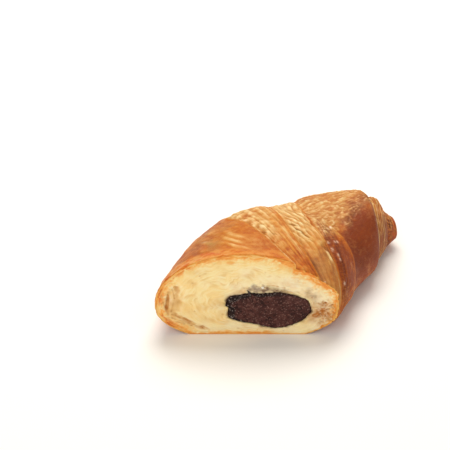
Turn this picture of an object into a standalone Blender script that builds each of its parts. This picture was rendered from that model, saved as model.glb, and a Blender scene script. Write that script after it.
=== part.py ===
# Cut half of a chocolate-filled crescent roll, resting on its flat base.
# Metres, +Z up. The cut face looks along -Y, the rolled tip points to +X and +Y.
import math

import bmesh
import bpy
import numpy as np

# Plan of the roll's axis, a quadratic curve from the cut to the tip.
AXIS_CUT = np.array((0.0007, 0.0))
AXIS_BEND = np.array((0.0123, 0.048))
AXIS_TIP = np.array((0.0718, 0.0785))

# Half width, height and floor clearance at stations along the axis (0 cut, 1 tip).
STATION = np.array((-0.60, -0.15, 0.15, 0.40, 0.62, 0.78, 0.88, 0.95, 1.00))
HALF_WIDTH = np.array((0.0391, 0.0409, 0.0408, 0.0386, 0.0315, 0.0262, 0.0178, 0.0108, 0.0070))
HEIGHT = np.array((0.0484, 0.0463, 0.0419, 0.0414, 0.0346, 0.0335, 0.0326, 0.0246, 0.0162))
CLEARANCE = np.array((0.0, 0.0, 0.0, 0.0, 0.0, 0.0, 0.0005, 0.0024, 0.0040))

TIP_ROUND = 0.0026
SECTION_POWER = 0.99
CENTRE_SHARE = 0.34
UNDER_SHARE = 0.44

# Rolled edges: station over the top, slope per 100 degrees round, bend.
EDGES = (
    (-0.480, 0.40, -0.22),
    (0.213, 0.40, -0.22),
    (0.392, 0.42, -0.24),
    (0.560, 0.29, -0.13),
    (0.893, 0.06, -0.03),
    (0.957, 0.02, -0.01),
    (1.000, 0.00, 0.00),
)
BAND_RINGS = (9, 10, 10, 15, 4, 4)

# Surface height over the mean roll at band coordinates, in millimetres.
PROFILE_BAND = np.array((0, 0.7, 0.96, 1.04, 1.4, 1.9, 2.04, 2.5, 2.9, 3.0, 3.1, 3.5, 3.96, 4.04, 4.6, 4.95, 5.06, 6))
PROFILE_MM = np.array((0.2, 0.3, 0.5, 0.3, 0.2, 0.5, -0.5, -0.1, -0.2, -0.8, 0.2, 0.5, 0.8, -1.1, -0.6, -0.1, -1.2, -0.1))
LIP_MM = 1.0
FLAP_MM = 1.0
SHOULDER_MM = 1.0
STRAND_MM = 0.2
RIDGE_MM = 0.45
ROUND_POINTS = 62
BASE_POINTS = 6

# Filling: offset and half sizes as shares of the roll's, and where it ends.
FILL_OFFSET = 0.248
FILL_WIDE = 0.455
FILL_HIGH = 0.212
FILL_MIDDLE = 0.300
FILL_POWER = 0.86
FILL_END = 0.66
FILL_START = -0.20
GAP = 0.0004

# Hollows in the crumb: x, z, half width, half height, depth, tilt in degrees.
HOLLOWS = (
    (-0.0335, 0.0185, 0.0030, 0.0090, 0.0035, -8.0),
    (0.0092, 0.0262, 0.0078, 0.0017, 0.0050, 1.0),
    (-0.0262, 0.0071, 0.0058, 0.0010, 0.0022, -30.0),
    (0.0360, 0.0150, 0.0011, 0.0027, 0.0022, 34.0),
    (0.0393, 0.0117, 0.0010, 0.0024, 0.0016, 12.0),
    (0.0372, 0.0070, 0.0024, 0.0010, 0.0020, 24.0),
    (0.0352, 0.0102, 0.0009, 0.0016, 0.0013, -40.0),
)
MIDDLE_X = 0.0169
MIDDLE_Y = 0.0435


def clear_scene():
    for obj in list(bpy.data.objects):
        bpy.data.objects.remove(obj, do_unlink=True)


def ease(x):
    x = np.clip(x, 0.0, 1.0)
    return x * x * (3.0 - 2.0 * x)


def blend(x, xs, ys):
    """Monotone cubic through the stations, held level past both ends."""
    step = np.diff(xs)
    rate = np.diff(ys) / step
    slope = np.zeros(len(ys))
    same = rate[:-1] * rate[1:] > 0
    first = 2 * step[1:] + step[:-1]
    second = step[1:] + 2 * step[:-1]
    safe = np.where(same, rate[:-1], 1.0), np.where(same, rate[1:], 1.0)
    slope[1:-1] = np.where(same, (first + second) / (first / safe[0] + second / safe[1]), 0.0)
    slope[0], slope[-1] = rate[0], rate[-1]
    x = np.clip(x, xs[0], xs[-1])
    i = np.clip(np.searchsorted(xs, x, side="right") - 1, 0, len(xs) - 2)
    t = (x - xs[i]) / step[i]
    ends = ys[i] * (1 + 2 * t) * (1 - t) ** 2 + ys[i + 1] * t * t * (3 - 2 * t)
    return ends + slope[i] * step[i] * t * (1 - t) ** 2 + slope[i + 1] * step[i] * t * t * (t - 1)


def axis_at(s):
    """Plan point of the axis and its unit direction; straight on before the cut."""
    t = np.clip(s, 0.0, None)[..., None]
    point = (1 - t) ** 2 * AXIS_CUT + 2 * t * (1 - t) * AXIS_BEND + t * t * AXIS_TIP
    point = point + 2 * np.minimum(s, 0.0)[..., None] * (AXIS_BEND - AXIS_CUT)
    along = 2 * (1 - t) * (AXIS_BEND - AXIS_CUT) + 2 * t * (AXIS_TIP - AXIS_BEND)
    return point, along / np.linalg.norm(along, axis=-1, keepdims=True)


def edge_station(edge, degrees):
    """Station of one rolled edge at an angle round the roll; straight past the top's range."""
    top, slope, bend = edge
    t = (degrees - 90.0) / 100.0
    held = np.clip(t, -0.9, 0.6)
    return top + slope * held + bend * held * held + (t - held) * (slope + 2 * bend * held)


def station_of(band, degrees):
    """Station of a band coordinate: whole numbers are the rolled edges."""
    stations = np.stack([edge_station(edge, degrees) for edge in EDGES])
    low = np.clip(np.floor(band).astype(int), 0, len(EDGES) - 2)
    part = band - low
    near = np.take_along_axis(stations, low[None], 0)[0]
    far = np.take_along_axis(stations, low[None] + 1, 0)[0]
    return near + (far - near) * part


def relief(band, degrees):
    """Height of wraps, pale cut layers and baked ridges over the mean roll."""
    height = np.interp(band, PROFILE_BAND, PROFILE_MM)
    near = 1 - ease((degrees - 50.0) / 25.0)
    lip = ease((band - 0.6) / 0.36) * (1 - ease((band - 0.96) / 0.08)) - 0.6 * ease((band - 0.97) / 0.07)
    lip = lip + 0.6 * ease((band - 1.1) / 0.6)
    lip = lip * (ease((degrees - 20.0) / 40.0) - 0.7 * ease((degrees - 100.0) / 35.0))
    flap = ease((2.78 - band) / 0.08) * ease((band - 2.2) / 0.5)
    strand = ease((band - 1.05) / 0.2) * ease((2.95 - band) / 0.2)
    wave = np.sin(2 * math.pi * (band * 2.6 + 0.3 * np.sin(degrees / 19.0) + 0.3 * np.sin(band * 5.0)))
    ridge = ease((band - 3.06) / 0.04) * ease((3.42 - band) / 0.1)
    comb = 0.5 + 0.5 * np.cos(2 * math.pi * (band - 3.14) / 0.115)
    strand = strand * (0.35 + 0.65 * ease((degrees - 30.0) / 40.0)) * (1 - ease((degrees - 165.0) / 30.0))
    height = height + LIP_MM * lip + FLAP_MM * near * flap + STRAND_MM * strand * wave
    height = height + RIDGE_MM * ridge * comb * (1 - ease((degrees - 60.0) / 30.0))
    shoulder = np.sin(np.radians(2 * np.clip(degrees, 0.0, 90.0))) * (1 - ease((band - 1.5) / 1.2))
    return (height - SHOULDER_MM * shoulder) / 1000.0


def roll_points(s, degrees, height):
    """Surface points of the roll: oval over the centre, rounded under it to the flat base."""
    turn = np.radians(degrees)
    point, along = axis_at(s)
    side = np.stack([along[..., 1], -along[..., 0]], axis=-1)
    wide = blend(s, STATION, HALF_WIDTH)
    low = blend(s, STATION, CLEARANCE)
    tall = blend(s, STATION, HEIGHT) - low
    c, n = np.cos(turn), np.sin(turn)
    across = wide * np.sign(c) * np.abs(c) ** SECTION_POWER
    rise = np.where(n > 0, 1 - CENTRE_SHARE, UNDER_SHARE) * np.sign(n) * np.abs(n) ** SECTION_POWER
    up = low + tall * (CENTRE_SHARE + rise)
    out = np.stack([c / wide, n / (tall * 0.6)])
    out = out / np.linalg.norm(out, axis=0)
    height = height * ease((up - low) / 0.008)
    place = point + side * (across + out[0] * height)[..., None]
    return np.concatenate([place, np.maximum(up + out[1] * height, low)[..., None]], axis=-1)


def ring_bands():
    """Band coordinates of the rings, crowded at each rolled edge."""
    levels = []
    for band, count in enumerate(BAND_RINGS):
        inner = np.linspace(0.10, 0.90, count)
        levels += [band + 0.03] + [band + x for x in inner] + [band + 0.97]
    return np.array(levels)


def roll_rings():
    """Rings of points round the roll, then smaller ones that close the tip."""
    corner = math.degrees(math.asin(CENTRE_SHARE / UNDER_SHARE))
    degrees = np.linspace(-corner, 180 + corner, ROUND_POINTS)
    band, angle = np.meshgrid(ring_bands(), degrees, indexing="ij")
    rings = roll_points(station_of(band, angle), angle, relief(band, angle))
    share = np.linspace(0, 1, BASE_POINTS + 2)[1:-1, None]
    base = rings[:, -1:] * (1 - share) + rings[:, :1] * share
    rings = np.concatenate([rings, base], axis=1)
    middle = rings[-1].mean(axis=0)
    ahead = np.append(axis_at(np.array(1.0))[1], 0.0) * TIP_ROUND
    for turn in np.radians((25.0, 48.0, 68.0)):
        closing = middle + (rings[len(ring_bands()) - 1] - middle) * math.cos(turn)
        rings = np.concatenate([rings, (closing + ahead * math.sin(turn))[None]])
    return rings, middle + ahead


def lofted(name, rings, tip):
    """Closed mesh through the rings, with a flat start and a point at the tip."""
    mesh = bmesh.new()
    rows = [[mesh.verts.new(p) for p in ring] for ring in rings]
    count = len(rows[0])
    for near, far in zip(rows, rows[1:]):
        for i in range(count):
            j = (i + 1) % count
            mesh.faces.new((near[i], near[j], far[j], far[i]))
    end = mesh.verts.new(tip)
    for i in range(count):
        mesh.faces.new((rows[-1][i], rows[-1][(i + 1) % count], end))
    mesh.faces.new(rows[0])
    bmesh.ops.recalc_face_normals(mesh, faces=mesh.faces)
    return placed(name, mesh)


def placed(name, mesh):
    """Object from a bmesh, moved so that the half's middle stands on the origin."""
    data = bpy.data.meshes.new(name)
    mesh.to_mesh(data)
    mesh.free()
    obj = bpy.data.objects.new(name, data)
    obj.location = (-MIDDLE_X, -MIDDLE_Y, 0.0)
    bpy.context.scene.collection.objects.link(obj)
    return obj


def smooth(obj):
    obj.data.polygons.foreach_set("use_smooth", [True] * len(obj.data.polygons))


def fill_rings(grow, rings=22, points=36):
    """Oval rod of filling along the axis, tapered to a blunt end inside the dough."""
    share = np.sin(np.linspace(0, math.pi / 2, rings))
    s = FILL_START + (FILL_END - FILL_START) * share[:-1]
    turn = np.linspace(0, 2 * math.pi, points, endpoint=False)
    s, turn = np.meshgrid(s, turn, indexing="ij")
    point, along = axis_at(s)
    side = np.stack([along[..., 1], -along[..., 0]], axis=-1)
    wide = blend(s, STATION, HALF_WIDTH)
    tall = blend(s, STATION, HEIGHT)
    taper = np.sqrt(1 - np.clip(s / FILL_END, 0, 1) ** 6)
    ragged = 1 + 0.015 * np.sin(5 * turn + 9 * s) + 0.012 * np.sin(11 * turn + 1.3 - 14 * s)
    c = np.sign(np.cos(turn)) * np.abs(np.cos(turn)) ** FILL_POWER
    n = np.sign(np.sin(turn)) * np.abs(np.sin(turn)) ** FILL_POWER
    across = wide * FILL_OFFSET + (wide * FILL_WIDE * taper * ragged + grow) * c
    up = tall * FILL_MIDDLE + (tall * FILL_HIGH * taper * ragged + grow) * n
    rod = np.concatenate([point + side * across[..., None], up[..., None]], axis=-1)
    end_point, end_along = axis_at(np.array(FILL_END + grow))
    across = blend(np.array(FILL_END), STATION, HALF_WIDTH) * FILL_OFFSET
    place = end_point + np.array((end_along[1], -end_along[0])) * across + end_along * grow
    return rod, np.append(place, blend(np.array(FILL_END), STATION, HEIGHT) * FILL_MIDDLE)


def knife():
    """Block in front of the cut plane."""
    mesh = bmesh.new()
    bmesh.ops.create_cube(mesh, size=1.0)
    bmesh.ops.scale(mesh, verts=mesh.verts, vec=(0.3, 0.2, 0.2))
    bmesh.ops.translate(mesh, verts=mesh.verts, vec=(0.0, -0.1, 0.03))
    return placed("knife", mesh)


def hollow_cutter():
    """Shallow oval hollows that open on the cut face."""
    mesh = bmesh.new()
    for x, z, wide, tall, deep, tilt in HOLLOWS:
        ball = bmesh.ops.create_uvsphere(mesh, u_segments=16, v_segments=9, radius=1.0)["verts"]
        c, s = math.cos(math.radians(tilt)), math.sin(math.radians(tilt))
        for vert in ball:
            a, b = vert.co.x * wide, vert.co.z * tall
            vert.co = (x + a * c - b * s, vert.co.y * deep, z + a * s + b * c)
    return placed("hollow_cutter", mesh)


def cut(obj, cutters):
    for cutter in cutters:
        cutter.hide_render = True
        cutter.display_type = "WIRE"
        modifier = obj.modifiers.new(cutter.name, "BOOLEAN")
        modifier.operation = "DIFFERENCE"
        modifier.solver = "EXACT"
        modifier.object = cutter


def material(name, colour, roughness):
    made = bpy.data.materials.new(name)
    made.use_nodes = True
    shader = made.node_tree.nodes["Principled BSDF"]
    shader.inputs["Base Color"].default_value = (*colour, 1.0)
    shader.inputs["Roughness"].default_value = roughness
    return made


def croissant_half(blade):
    rings, tip = roll_rings()
    obj = lofted("croissant_half", rings, tip)
    smooth(obj)
    cavity = lofted("filling_cavity", *fill_rings(GAP))
    smooth(cavity)
    cut(obj, (blade, cavity, hollow_cutter()))
    obj.data.materials.append(material("baked_dough", (0.62, 0.30, 0.09), 0.5))
    return obj


def chocolate_filling(blade):
    obj = lofted("chocolate_filling", *fill_rings(0.0))
    smooth(obj)
    cut(obj, (blade,))
    obj.data.materials.append(material("chocolate", (0.045, 0.014, 0.008), 0.35))
    return obj


clear_scene()
blade = knife()
croissant_half(blade)
chocolate_filling(blade)
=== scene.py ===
import math
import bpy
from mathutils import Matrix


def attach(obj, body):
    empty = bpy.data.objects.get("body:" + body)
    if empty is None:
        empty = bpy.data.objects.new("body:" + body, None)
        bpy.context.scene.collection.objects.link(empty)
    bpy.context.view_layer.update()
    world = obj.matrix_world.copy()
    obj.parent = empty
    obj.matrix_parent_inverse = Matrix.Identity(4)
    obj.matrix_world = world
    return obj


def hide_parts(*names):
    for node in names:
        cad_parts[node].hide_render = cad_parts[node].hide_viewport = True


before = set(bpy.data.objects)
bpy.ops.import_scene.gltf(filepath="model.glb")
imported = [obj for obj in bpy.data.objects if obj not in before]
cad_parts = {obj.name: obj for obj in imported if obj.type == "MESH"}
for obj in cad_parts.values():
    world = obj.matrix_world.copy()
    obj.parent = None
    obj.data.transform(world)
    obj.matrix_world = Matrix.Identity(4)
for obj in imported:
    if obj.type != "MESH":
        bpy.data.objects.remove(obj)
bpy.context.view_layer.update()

from types import SimpleNamespace

import bpy
import numpy as np
from mathutils import Vector

# camera, floor and light

cameraSet = {
    "target": (-0.0266, -0.0162, 0.0428),
    "place": (-0.0266, -0.7753, 0.5264),
    "lens": 154.8,
    "sensor": 36.0,
}


def makeCamera(values):
    data = bpy.data.cameras.new("camera")
    data.lens = values["lens"]
    data.sensor_width = values["sensor"]
    camera = bpy.data.objects.new("camera", data)
    camera.location = values["place"]
    aim = Vector(values["target"]) - Vector(values["place"])
    camera.rotation_euler = aim.to_track_quat("-Z", "Y").to_euler()
    bpy.context.scene.collection.objects.link(camera)
    bpy.context.scene.camera = camera


makeCamera(cameraSet)

lightSet = {
    # name: place, aimed at, size, power in watts, colour
    "overhead": ((0.00, 0.38, 0.72), (0.0, 0.0, 0.0), 0.55, 5.7, (1.0, 0.98, 0.95)),
    "frontLeft": ((-0.30, -1.05, 0.70), (0.0, 0.0, 0.02), 1.10, 6.0, (1.0, 0.985, 0.96)),
    "sky": 0.42,
    "skyColour": (1.0, 0.995, 0.985, 1.0),
}


def makeLights(values):
    for name in ("overhead", "frontLeft"):
        place, aim, size, power, colour = values[name]
        data = bpy.data.lights.new(name, "AREA")
        data.size = size
        data.energy = power
        data.color = colour
        lamp = bpy.data.objects.new(name, data)
        lamp.location = place
        lamp.rotation_euler = (Vector(aim) - Vector(place)).to_track_quat("-Z", "Y").to_euler()
        bpy.context.scene.collection.objects.link(lamp)
    world = bpy.data.worlds.new("softSky")
    world.use_nodes = True
    background = world.node_tree.nodes["Background"].inputs
    background["Color"].default_value = values["skyColour"]
    background["Strength"].default_value = values["sky"]
    bpy.context.scene.world = world
    bpy.context.scene.view_settings.view_transform = "Standard"


makeLights(lightSet)

floorSet = {"half": 3.0, "colour": (0.98, 0.945, 0.885), "roughness": 0.7, "specular": 0.2}


def makeFloor(values):
    half = values["half"]
    mesh = bpy.data.meshes.new("floor")
    corners = [(-half, -half, 0), (half, -half, 0), (half, half, 0), (-half, half, 0)]
    mesh.from_pydata(corners, [], [(0, 1, 2, 3)])
    floor = bpy.data.objects.new("floor", mesh)
    bpy.context.scene.collection.objects.link(floor)
    paint = bpy.data.materials.new("whitePaper")
    paint.use_nodes = True
    shader = paint.node_tree.nodes["Principled BSDF"]
    shader.inputs["Base Color"].default_value = (*values["colour"], 1.0)
    shader.inputs["Roughness"].default_value = values["roughness"]
    shader.inputs["Specular IOR Level"].default_value = values["specular"]
    mesh.materials.append(paint)


makeFloor(floorSet)
print("camera, lights and floor made")

# small maths used by every surface


def ease(x):
    # 0 below 0, 1 above 1, and a cubic that is flat at both ends between
    x = np.clip(x, 0.0, 1.0)
    return x * x * (3.0 - 2.0 * x)


def rise(x, start, width):
    # 0 up to the start, 1 from one width past it
    return ease((x - start) / width)


def fall(x, start, width):
    # 1 up to the start, 0 from one width past it
    return 1 - ease((x - start) / width)


def window(x, low, high, soft):
    # 1 between low and high, easing to 0 over the soft width inside each end
    return ease((x - low) / soft) * ease((high - x) / soft)


def bump(x, middle, width):
    # a bell: e to the minus square of the distance from the middle in widths
    return np.exp(-(((x - middle) / width) ** 2))


def through(x, xs, ys):
    # cubic through the stations whose slope never overshoots, level past both ends
    xs, ys = np.asarray(xs, float), np.asarray(ys, float)
    step = np.diff(xs)
    rate = np.diff(ys) / step
    slope = np.zeros(len(ys))
    same = rate[:-1] * rate[1:] > 0
    first = 2 * step[1:] + step[:-1]
    second = step[1:] + 2 * step[:-1]
    safe = np.where(same, rate[:-1], 1.0), np.where(same, rate[1:], 1.0)
    slope[1:-1] = np.where(same, (first + second) / (first / safe[0] + second / safe[1]), 0.0)
    slope[0], slope[-1] = rate[0], rate[-1]
    x = np.clip(x, xs[0], xs[-1])
    i = np.clip(np.searchsorted(xs, x, side="right") - 1, 0, len(xs) - 2)
    t = (x - xs[i]) / step[i]
    ends = ys[i] * (1 + 2 * t) * (1 - t) ** 2 + ys[i + 1] * t * t * (3 - 2 * t)
    return ends + slope[i] * step[i] * t * (1 - t) ** 2 + slope[i + 1] * step[i] * t * t * (t - 1)


def latticeValue(i, j, k, seed):
    # a repeatable random number from 0 to 1 for each whole-number point
    mixed = (i * 73856093) ^ (j * 19349663) ^ (k * 83492791) ^ (seed * 2654435761)
    mixed = (mixed ^ (mixed >> 13)) * 1274126177 & 0xFFFFFFFF
    mixed = (mixed ^ (mixed >> 16)) * 73244475 & 0xFFFFFFFF
    return ((mixed ^ (mixed >> 15)) & 0xFFFFFF) / 0xFFFFFF


def softNoise(x, y, z, seed):
    # random values at whole-number points, blended between them by eased shares; about -1 to 1
    x, y, z = np.broadcast_arrays(x, y, z)
    i, j, k = (np.floor(v).astype(np.int64) for v in (x, y, z))
    u, v, w = ease(x - i), ease(y - j), ease(z - k)
    total = 0.0
    for a in (0, 1):
        for b in (0, 1):
            for c in (0, 1):
                share = (u if a else 1 - u) * (v if b else 1 - v) * (w if c else 1 - w)
                total = total + share * latticeValue(i + a, j + b, k + c, seed)
    return 2.0 * total - 1.0


def layeredNoise(x, y, z, seed, layers=3):
    # soft noise plus copies at double the pitch and half the height
    total, height, pitch = 0.0, 1.0, 1.0
    for layer in range(layers):
        total = total + height * softNoise(x * pitch + 7.3 * layer, y * pitch, z * pitch, seed + layer)
        height, pitch = height * 0.5, pitch * 2.03
    return total / 1.7


def creased(x, y, z, seed, layers=2):
    # soft noise folded at its zero lines, so that crests are sharp and hollows round; about 0 to 1
    total, height, pitch = 0.0, 1.0, 1.0
    for layer in range(layers):
        fold = 1.0 - 2.2 * np.abs(softNoise(x * pitch + 3.7 * layer, y * pitch, z * pitch, seed + layer))
        total = total + height * np.clip(fold, 0.0, 1.0)
        height, pitch = height * 0.5, pitch * 1.9
    return total / 1.4


def cellNoise(x, y, z, seed):
    # distance to the nearest and second nearest of one jittered point per cell, and the nearest's random value
    x, y, z = np.broadcast_arrays(x, y, z)
    i, j, k = (np.floor(v).astype(np.int64) for v in (x, y, z))
    near = np.full(x.shape, 9.0)
    second = np.full(x.shape, 9.0)
    value = np.zeros(x.shape)
    for a in (-1, 0, 1):
        for b in (-1, 0, 1):
            for c in (-1, 0, 1):
                p, q, r = i + a, j + b, k + c
                away = (p + latticeValue(p, q, r, seed) - x) ** 2
                away = away + (q + latticeValue(p, q, r, seed + 1) - y) ** 2
                away = away + (r + latticeValue(p, q, r, seed + 2) - z) ** 2
                closer = away < near
                second = np.where(closer, near, np.minimum(second, away))
                value = np.where(closer, latticeValue(p, q, r, seed + 3), value)
                near = np.where(closer, away, near)
    return np.sqrt(near), np.sqrt(second), value


def leaves(distance, along, pitch, sharp, seed):
    # stacked thin leaves seen on edge: each climbs slowly and drops over the sharp share, comes and goes along
    # its length, and has a random tone; gives the climb, the tone and a mask of the drop
    phase = distance / pitch + 0.45 * softNoise(along / 19, distance / 17, 0.0, seed)
    phase = phase + 0.16 * softNoise(along / 5, distance / 6, 0.0, seed + 1)
    phase = phase + 0.06 * softNoise(along / 1.6, distance / 3, 0.0, seed + 2)
    leaf = np.floor(phase)
    share = phase - leaf
    tone = latticeValue(leaf.astype(np.int64), 0, 0, seed + 5) - 0.5
    strength = 0.25 + 0.75 * ease(0.5 + 0.9 * softNoise(along / 8, leaf * 7.3, 0.0, seed + 3))
    climb = np.where(share < 1 - sharp, ease(share / (1 - sharp)), 1 - ease((share - 1 + sharp) / sharp))
    drop = ease((share - 1 + 1.2 * sharp) / (0.6 * sharp)) * strength
    return strength * climb, tone, drop


def evened(grid, reach):
    # mean of each value and its neighbours up to reach rows and columns away, wrapped round the columns
    for axis, mode in ((0, "edge"), (1, "wrap")):
        pad = [(0, 0), (0, 0)]
        pad[axis] = (reach + 1, reach)
        total = np.cumsum(np.pad(grid, pad, mode=mode), axis=axis)
        count = 2 * reach + 1
        if axis == 0:
            grid = (total[count:] - total[:-count]) / count
        else:
            grid = (total[:, count:] - total[:, :-count]) / count
    return grid


# the roll's form, the same named sizes as the solid's

rollSet = {
    "axis": ((0.0007, 0.0), (0.0123, 0.048), (0.0718, 0.0785)),
    "station": (-0.60, -0.15, 0.15, 0.40, 0.62, 0.78, 0.88, 0.95, 1.00),
    "halfWidth": (0.0391, 0.0409, 0.0408, 0.0386, 0.0315, 0.0262, 0.0178, 0.0108, 0.0070),
    "height": (0.0484, 0.0463, 0.0419, 0.0414, 0.0346, 0.0335, 0.0326, 0.0246, 0.0162),
    "clearance": (0.0, 0.0, 0.0, 0.0, 0.0, 0.0, 0.0005, 0.0024, 0.0040),
    "power": 0.99,
    "centreShare": 0.34,
    "underShare": 0.44,
    # rolled edges: station over the top, slope per 100 degrees round, bend
    "edges": (
        (-0.480, 0.40, -0.22),
        (0.213, 0.40, -0.22),
        (0.392, 0.42, -0.24),
        (0.560, 0.29, -0.13),
        (0.893, 0.06, -0.03),
        (0.957, 0.02, -0.01),
        (1.000, 0.00, 0.00),
    ),
    "profileBand": (0, 0.7, 0.96, 1.04, 1.4, 1.9, 2.04, 2.5, 2.9, 3.0, 3.1, 3.5, 3.96, 4.04, 4.6, 4.95, 5.06, 6),
    "profileMm": (0.2, 0.3, 0.5, 0.3, 0.2, 0.5, -0.5, -0.1, -0.2, -0.8, 0.2, 0.5, 0.8, -1.1, -0.6, -0.1, -1.2, -0.1),
    "tipRound": 0.0026,
    "middle": (0.0169, 0.0435),
    "mmPerStation": 112.0,
    "mmPerDegree": 0.52,
    "joinBand": 4.6,       # where all columns have the same band
}


def axisAt(s):
    # plan point and direction of a quadratic curve from the cut to the tip, straight on before the cut
    cut, bend, tip = (np.array(p) for p in rollSet["axis"])
    t = np.clip(s, 0.0, None)[..., None]
    point = (1 - t) ** 2 * cut + 2 * t * (1 - t) * bend + t * t * tip
    point = point + 2 * np.minimum(s, 0.0)[..., None] * (bend - cut)
    along = 2 * (1 - t) * (bend - cut) + 2 * t * (tip - bend)
    return point, along / np.linalg.norm(along, axis=-1, keepdims=True)


def edgeStation(number, degrees):
    # station of one rolled edge: a parabola in the angle round the roll, straight past the top's range
    top, slope, bend = rollSet["edges"][number]
    t = (degrees - 90.0) / 100.0
    held = np.clip(t, -0.9, 0.6)
    return top + slope * held + bend * held * held + (t - held) * (slope + 2 * bend * held)


def stationOf(band, degrees):
    # whole numbers of the band are the rolled edges, shares between them are straight blends
    stations = np.stack([edgeStation(i, degrees) for i in range(len(rollSet["edges"]))])
    low = np.clip(np.floor(band).astype(int), 0, len(stations) - 2)
    near = np.take_along_axis(stations, low[None], 0)[0]
    far = np.take_along_axis(stations, low[None] + 1, 0)[0]
    return near + (far - near) * (band - low)


def mainRelief(band, degrees):
    # height in mm of the wraps, the flap, the lip and the baked ridges over the mean roll
    height = np.interp(band, rollSet["profileBand"], rollSet["profileMm"])
    near = fall(degrees, 50.0, 25.0)
    lip = rise(band, 0.6, 0.36) * fall(band, 0.96, 0.08) - 0.6 * rise(band, 0.97, 0.07)
    lip = lip + 0.6 * rise(band, 1.1, 0.6)
    lip = lip * (rise(degrees, 20.0, 40.0) - 0.7 * rise(degrees, 100.0, 35.0))
    flap = ease((2.78 - band) / 0.08) * rise(band, 2.2, 0.5)
    shoulder = np.sin(np.radians(2 * np.clip(degrees, 0.0, 90.0))) * fall(band, 1.5, 1.2)
    return height + lip + near * flap - shoulder


def rollSurface(s, degrees, heightMm):
    # oval over the centre and a rounder one under it down to the flat base, pushed out along its normal
    turn = np.radians(degrees)
    point, along = axisAt(s)
    side = np.stack([along[..., 1], -along[..., 0]], axis=-1)
    wide = through(s, rollSet["station"], rollSet["halfWidth"])
    low = through(s, rollSet["station"], rollSet["clearance"])
    tall = through(s, rollSet["station"], rollSet["height"]) - low
    c, n = np.cos(turn), np.sin(turn)
    across = wide * np.sign(c) * np.abs(c) ** rollSet["power"]
    reach = np.where(n > 0, 1 - rollSet["centreShare"], rollSet["underShare"])
    up = low + tall * (rollSet["centreShare"] + reach * np.sign(n) * np.abs(n) ** rollSet["power"])
    out = np.stack([c / wide, n / (tall * 0.6)])
    out = out / np.linalg.norm(out, axis=0)
    push = heightMm / 1000.0 * ease((up - low) / 0.008)
    place = point + side * (across + out[0] * push)[..., None] - np.array(rollSet["middle"])
    return np.concatenate([place, np.maximum(up + out[1] * push, low)[..., None]], axis=-1)


def rollColumns(topCount, baseCount):
    # angle of each column over the roll, and share across the base for the columns under it
    corner = math.degrees(math.asin(rollSet["centreShare"] / rollSet["underShare"]))
    degrees = np.linspace(-corner, 180 + corner, topCount)
    share = np.linspace(0, 1, baseCount + 2)[1:-1]
    return degrees, share


def closedRing(band, degrees, share, relief):
    # rows of points all the way round: the roll's columns, then straight lines across the base
    top = band[:, : len(degrees)]
    angle = np.broadcast_to(degrees, top.shape)
    over = rollSurface(stationOf(top, angle), angle, relief(top, angle))
    under = band[:, len(degrees):]
    corners = [rollSurface(stationOf(under, a), a, 0.0 * under) for a in
               (np.full(under.shape, degrees[-1]), np.full(under.shape, degrees[0]))]
    base = corners[0] * (1 - share[:, None]) + corners[1] * share[:, None]
    return np.concatenate([over, base], axis=1)


def ringCentres(band, degrees, share):
    # point inside the roll that each point of a ring is drawn towards
    far, near = degrees[-1], degrees[0]
    angle = np.concatenate([degrees, far + (near - far) * share])
    s = stationOf(band, np.broadcast_to(angle, band.shape))
    point, _ = axisAt(s)
    low = through(s, rollSet["station"], rollSet["clearance"])
    up = low + 0.42 * (through(s, rollSet["station"], rollSet["height"]) - low)
    return np.concatenate([point - np.array(rollSet["middle"]), up[..., None]], axis=-1)


def bandAtCut(degrees, share):
    # band coordinate at which each column passes the cut plane, found on a fine sampling
    cutY = -rollSet["middle"][1]
    band = np.linspace(0, 5, 1601)
    band = np.broadcast_to(band[:, None], (len(band), len(degrees) + len(share)))
    y = closedRing(band, degrees, share, mainRelief)[..., 1] - cutY
    crossing = (y[:-1] < 0) & (y[1:] >= 0)
    row = len(crossing) - 1 - np.argmax(crossing[::-1], axis=0)
    column = np.arange(y.shape[1])
    low, high = y[row, column], y[row + 1, column]
    return band[row, 0] + (band[1, 0] - band[0, 0]) * -low / (high - low)


def inStep(level, cutBand):
    # band of each column: its own at the cut, in step with the others from the join band on
    return level + cutBand[None] * np.clip(1 - level / rollSet["joinBand"], 0, None)


def evenRows(cutBand, degrees, share, count):
    # band of every row, spaced so that the rows are even in length
    level = np.linspace(0, 6, 700)[:, None]
    points = closedRing(inStep(level, cutBand), degrees, share, mainRelief)
    length = np.linalg.norm(np.diff(points, axis=0), axis=2).mean(axis=1)
    total = np.concatenate([[0], np.cumsum(length)])
    levels = np.interp(np.linspace(0, total[-1], count), total, level[:, 0])[:, None]
    return inStep(levels, cutBand)


def innerWall(levels, cutBand, degrees, share, inset, mostShare, behind):
    # rings moved in from the roll's surface towards its middle by the inset, at most by a share of the way,
    # and kept some way behind the cut
    band = inStep(levels[:, None], cutBand)
    wall = closedRing(band, degrees, share, mainRelief)
    towards = ringCentres(band, degrees, share) - wall
    length = np.linalg.norm(towards, axis=2, keepdims=True)
    wall = wall + towards / length * np.minimum(inset, length * mostShare)
    wall[..., 1] = np.maximum(wall[..., 1], behind - rollSet["middle"][1])
    return wall


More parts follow.
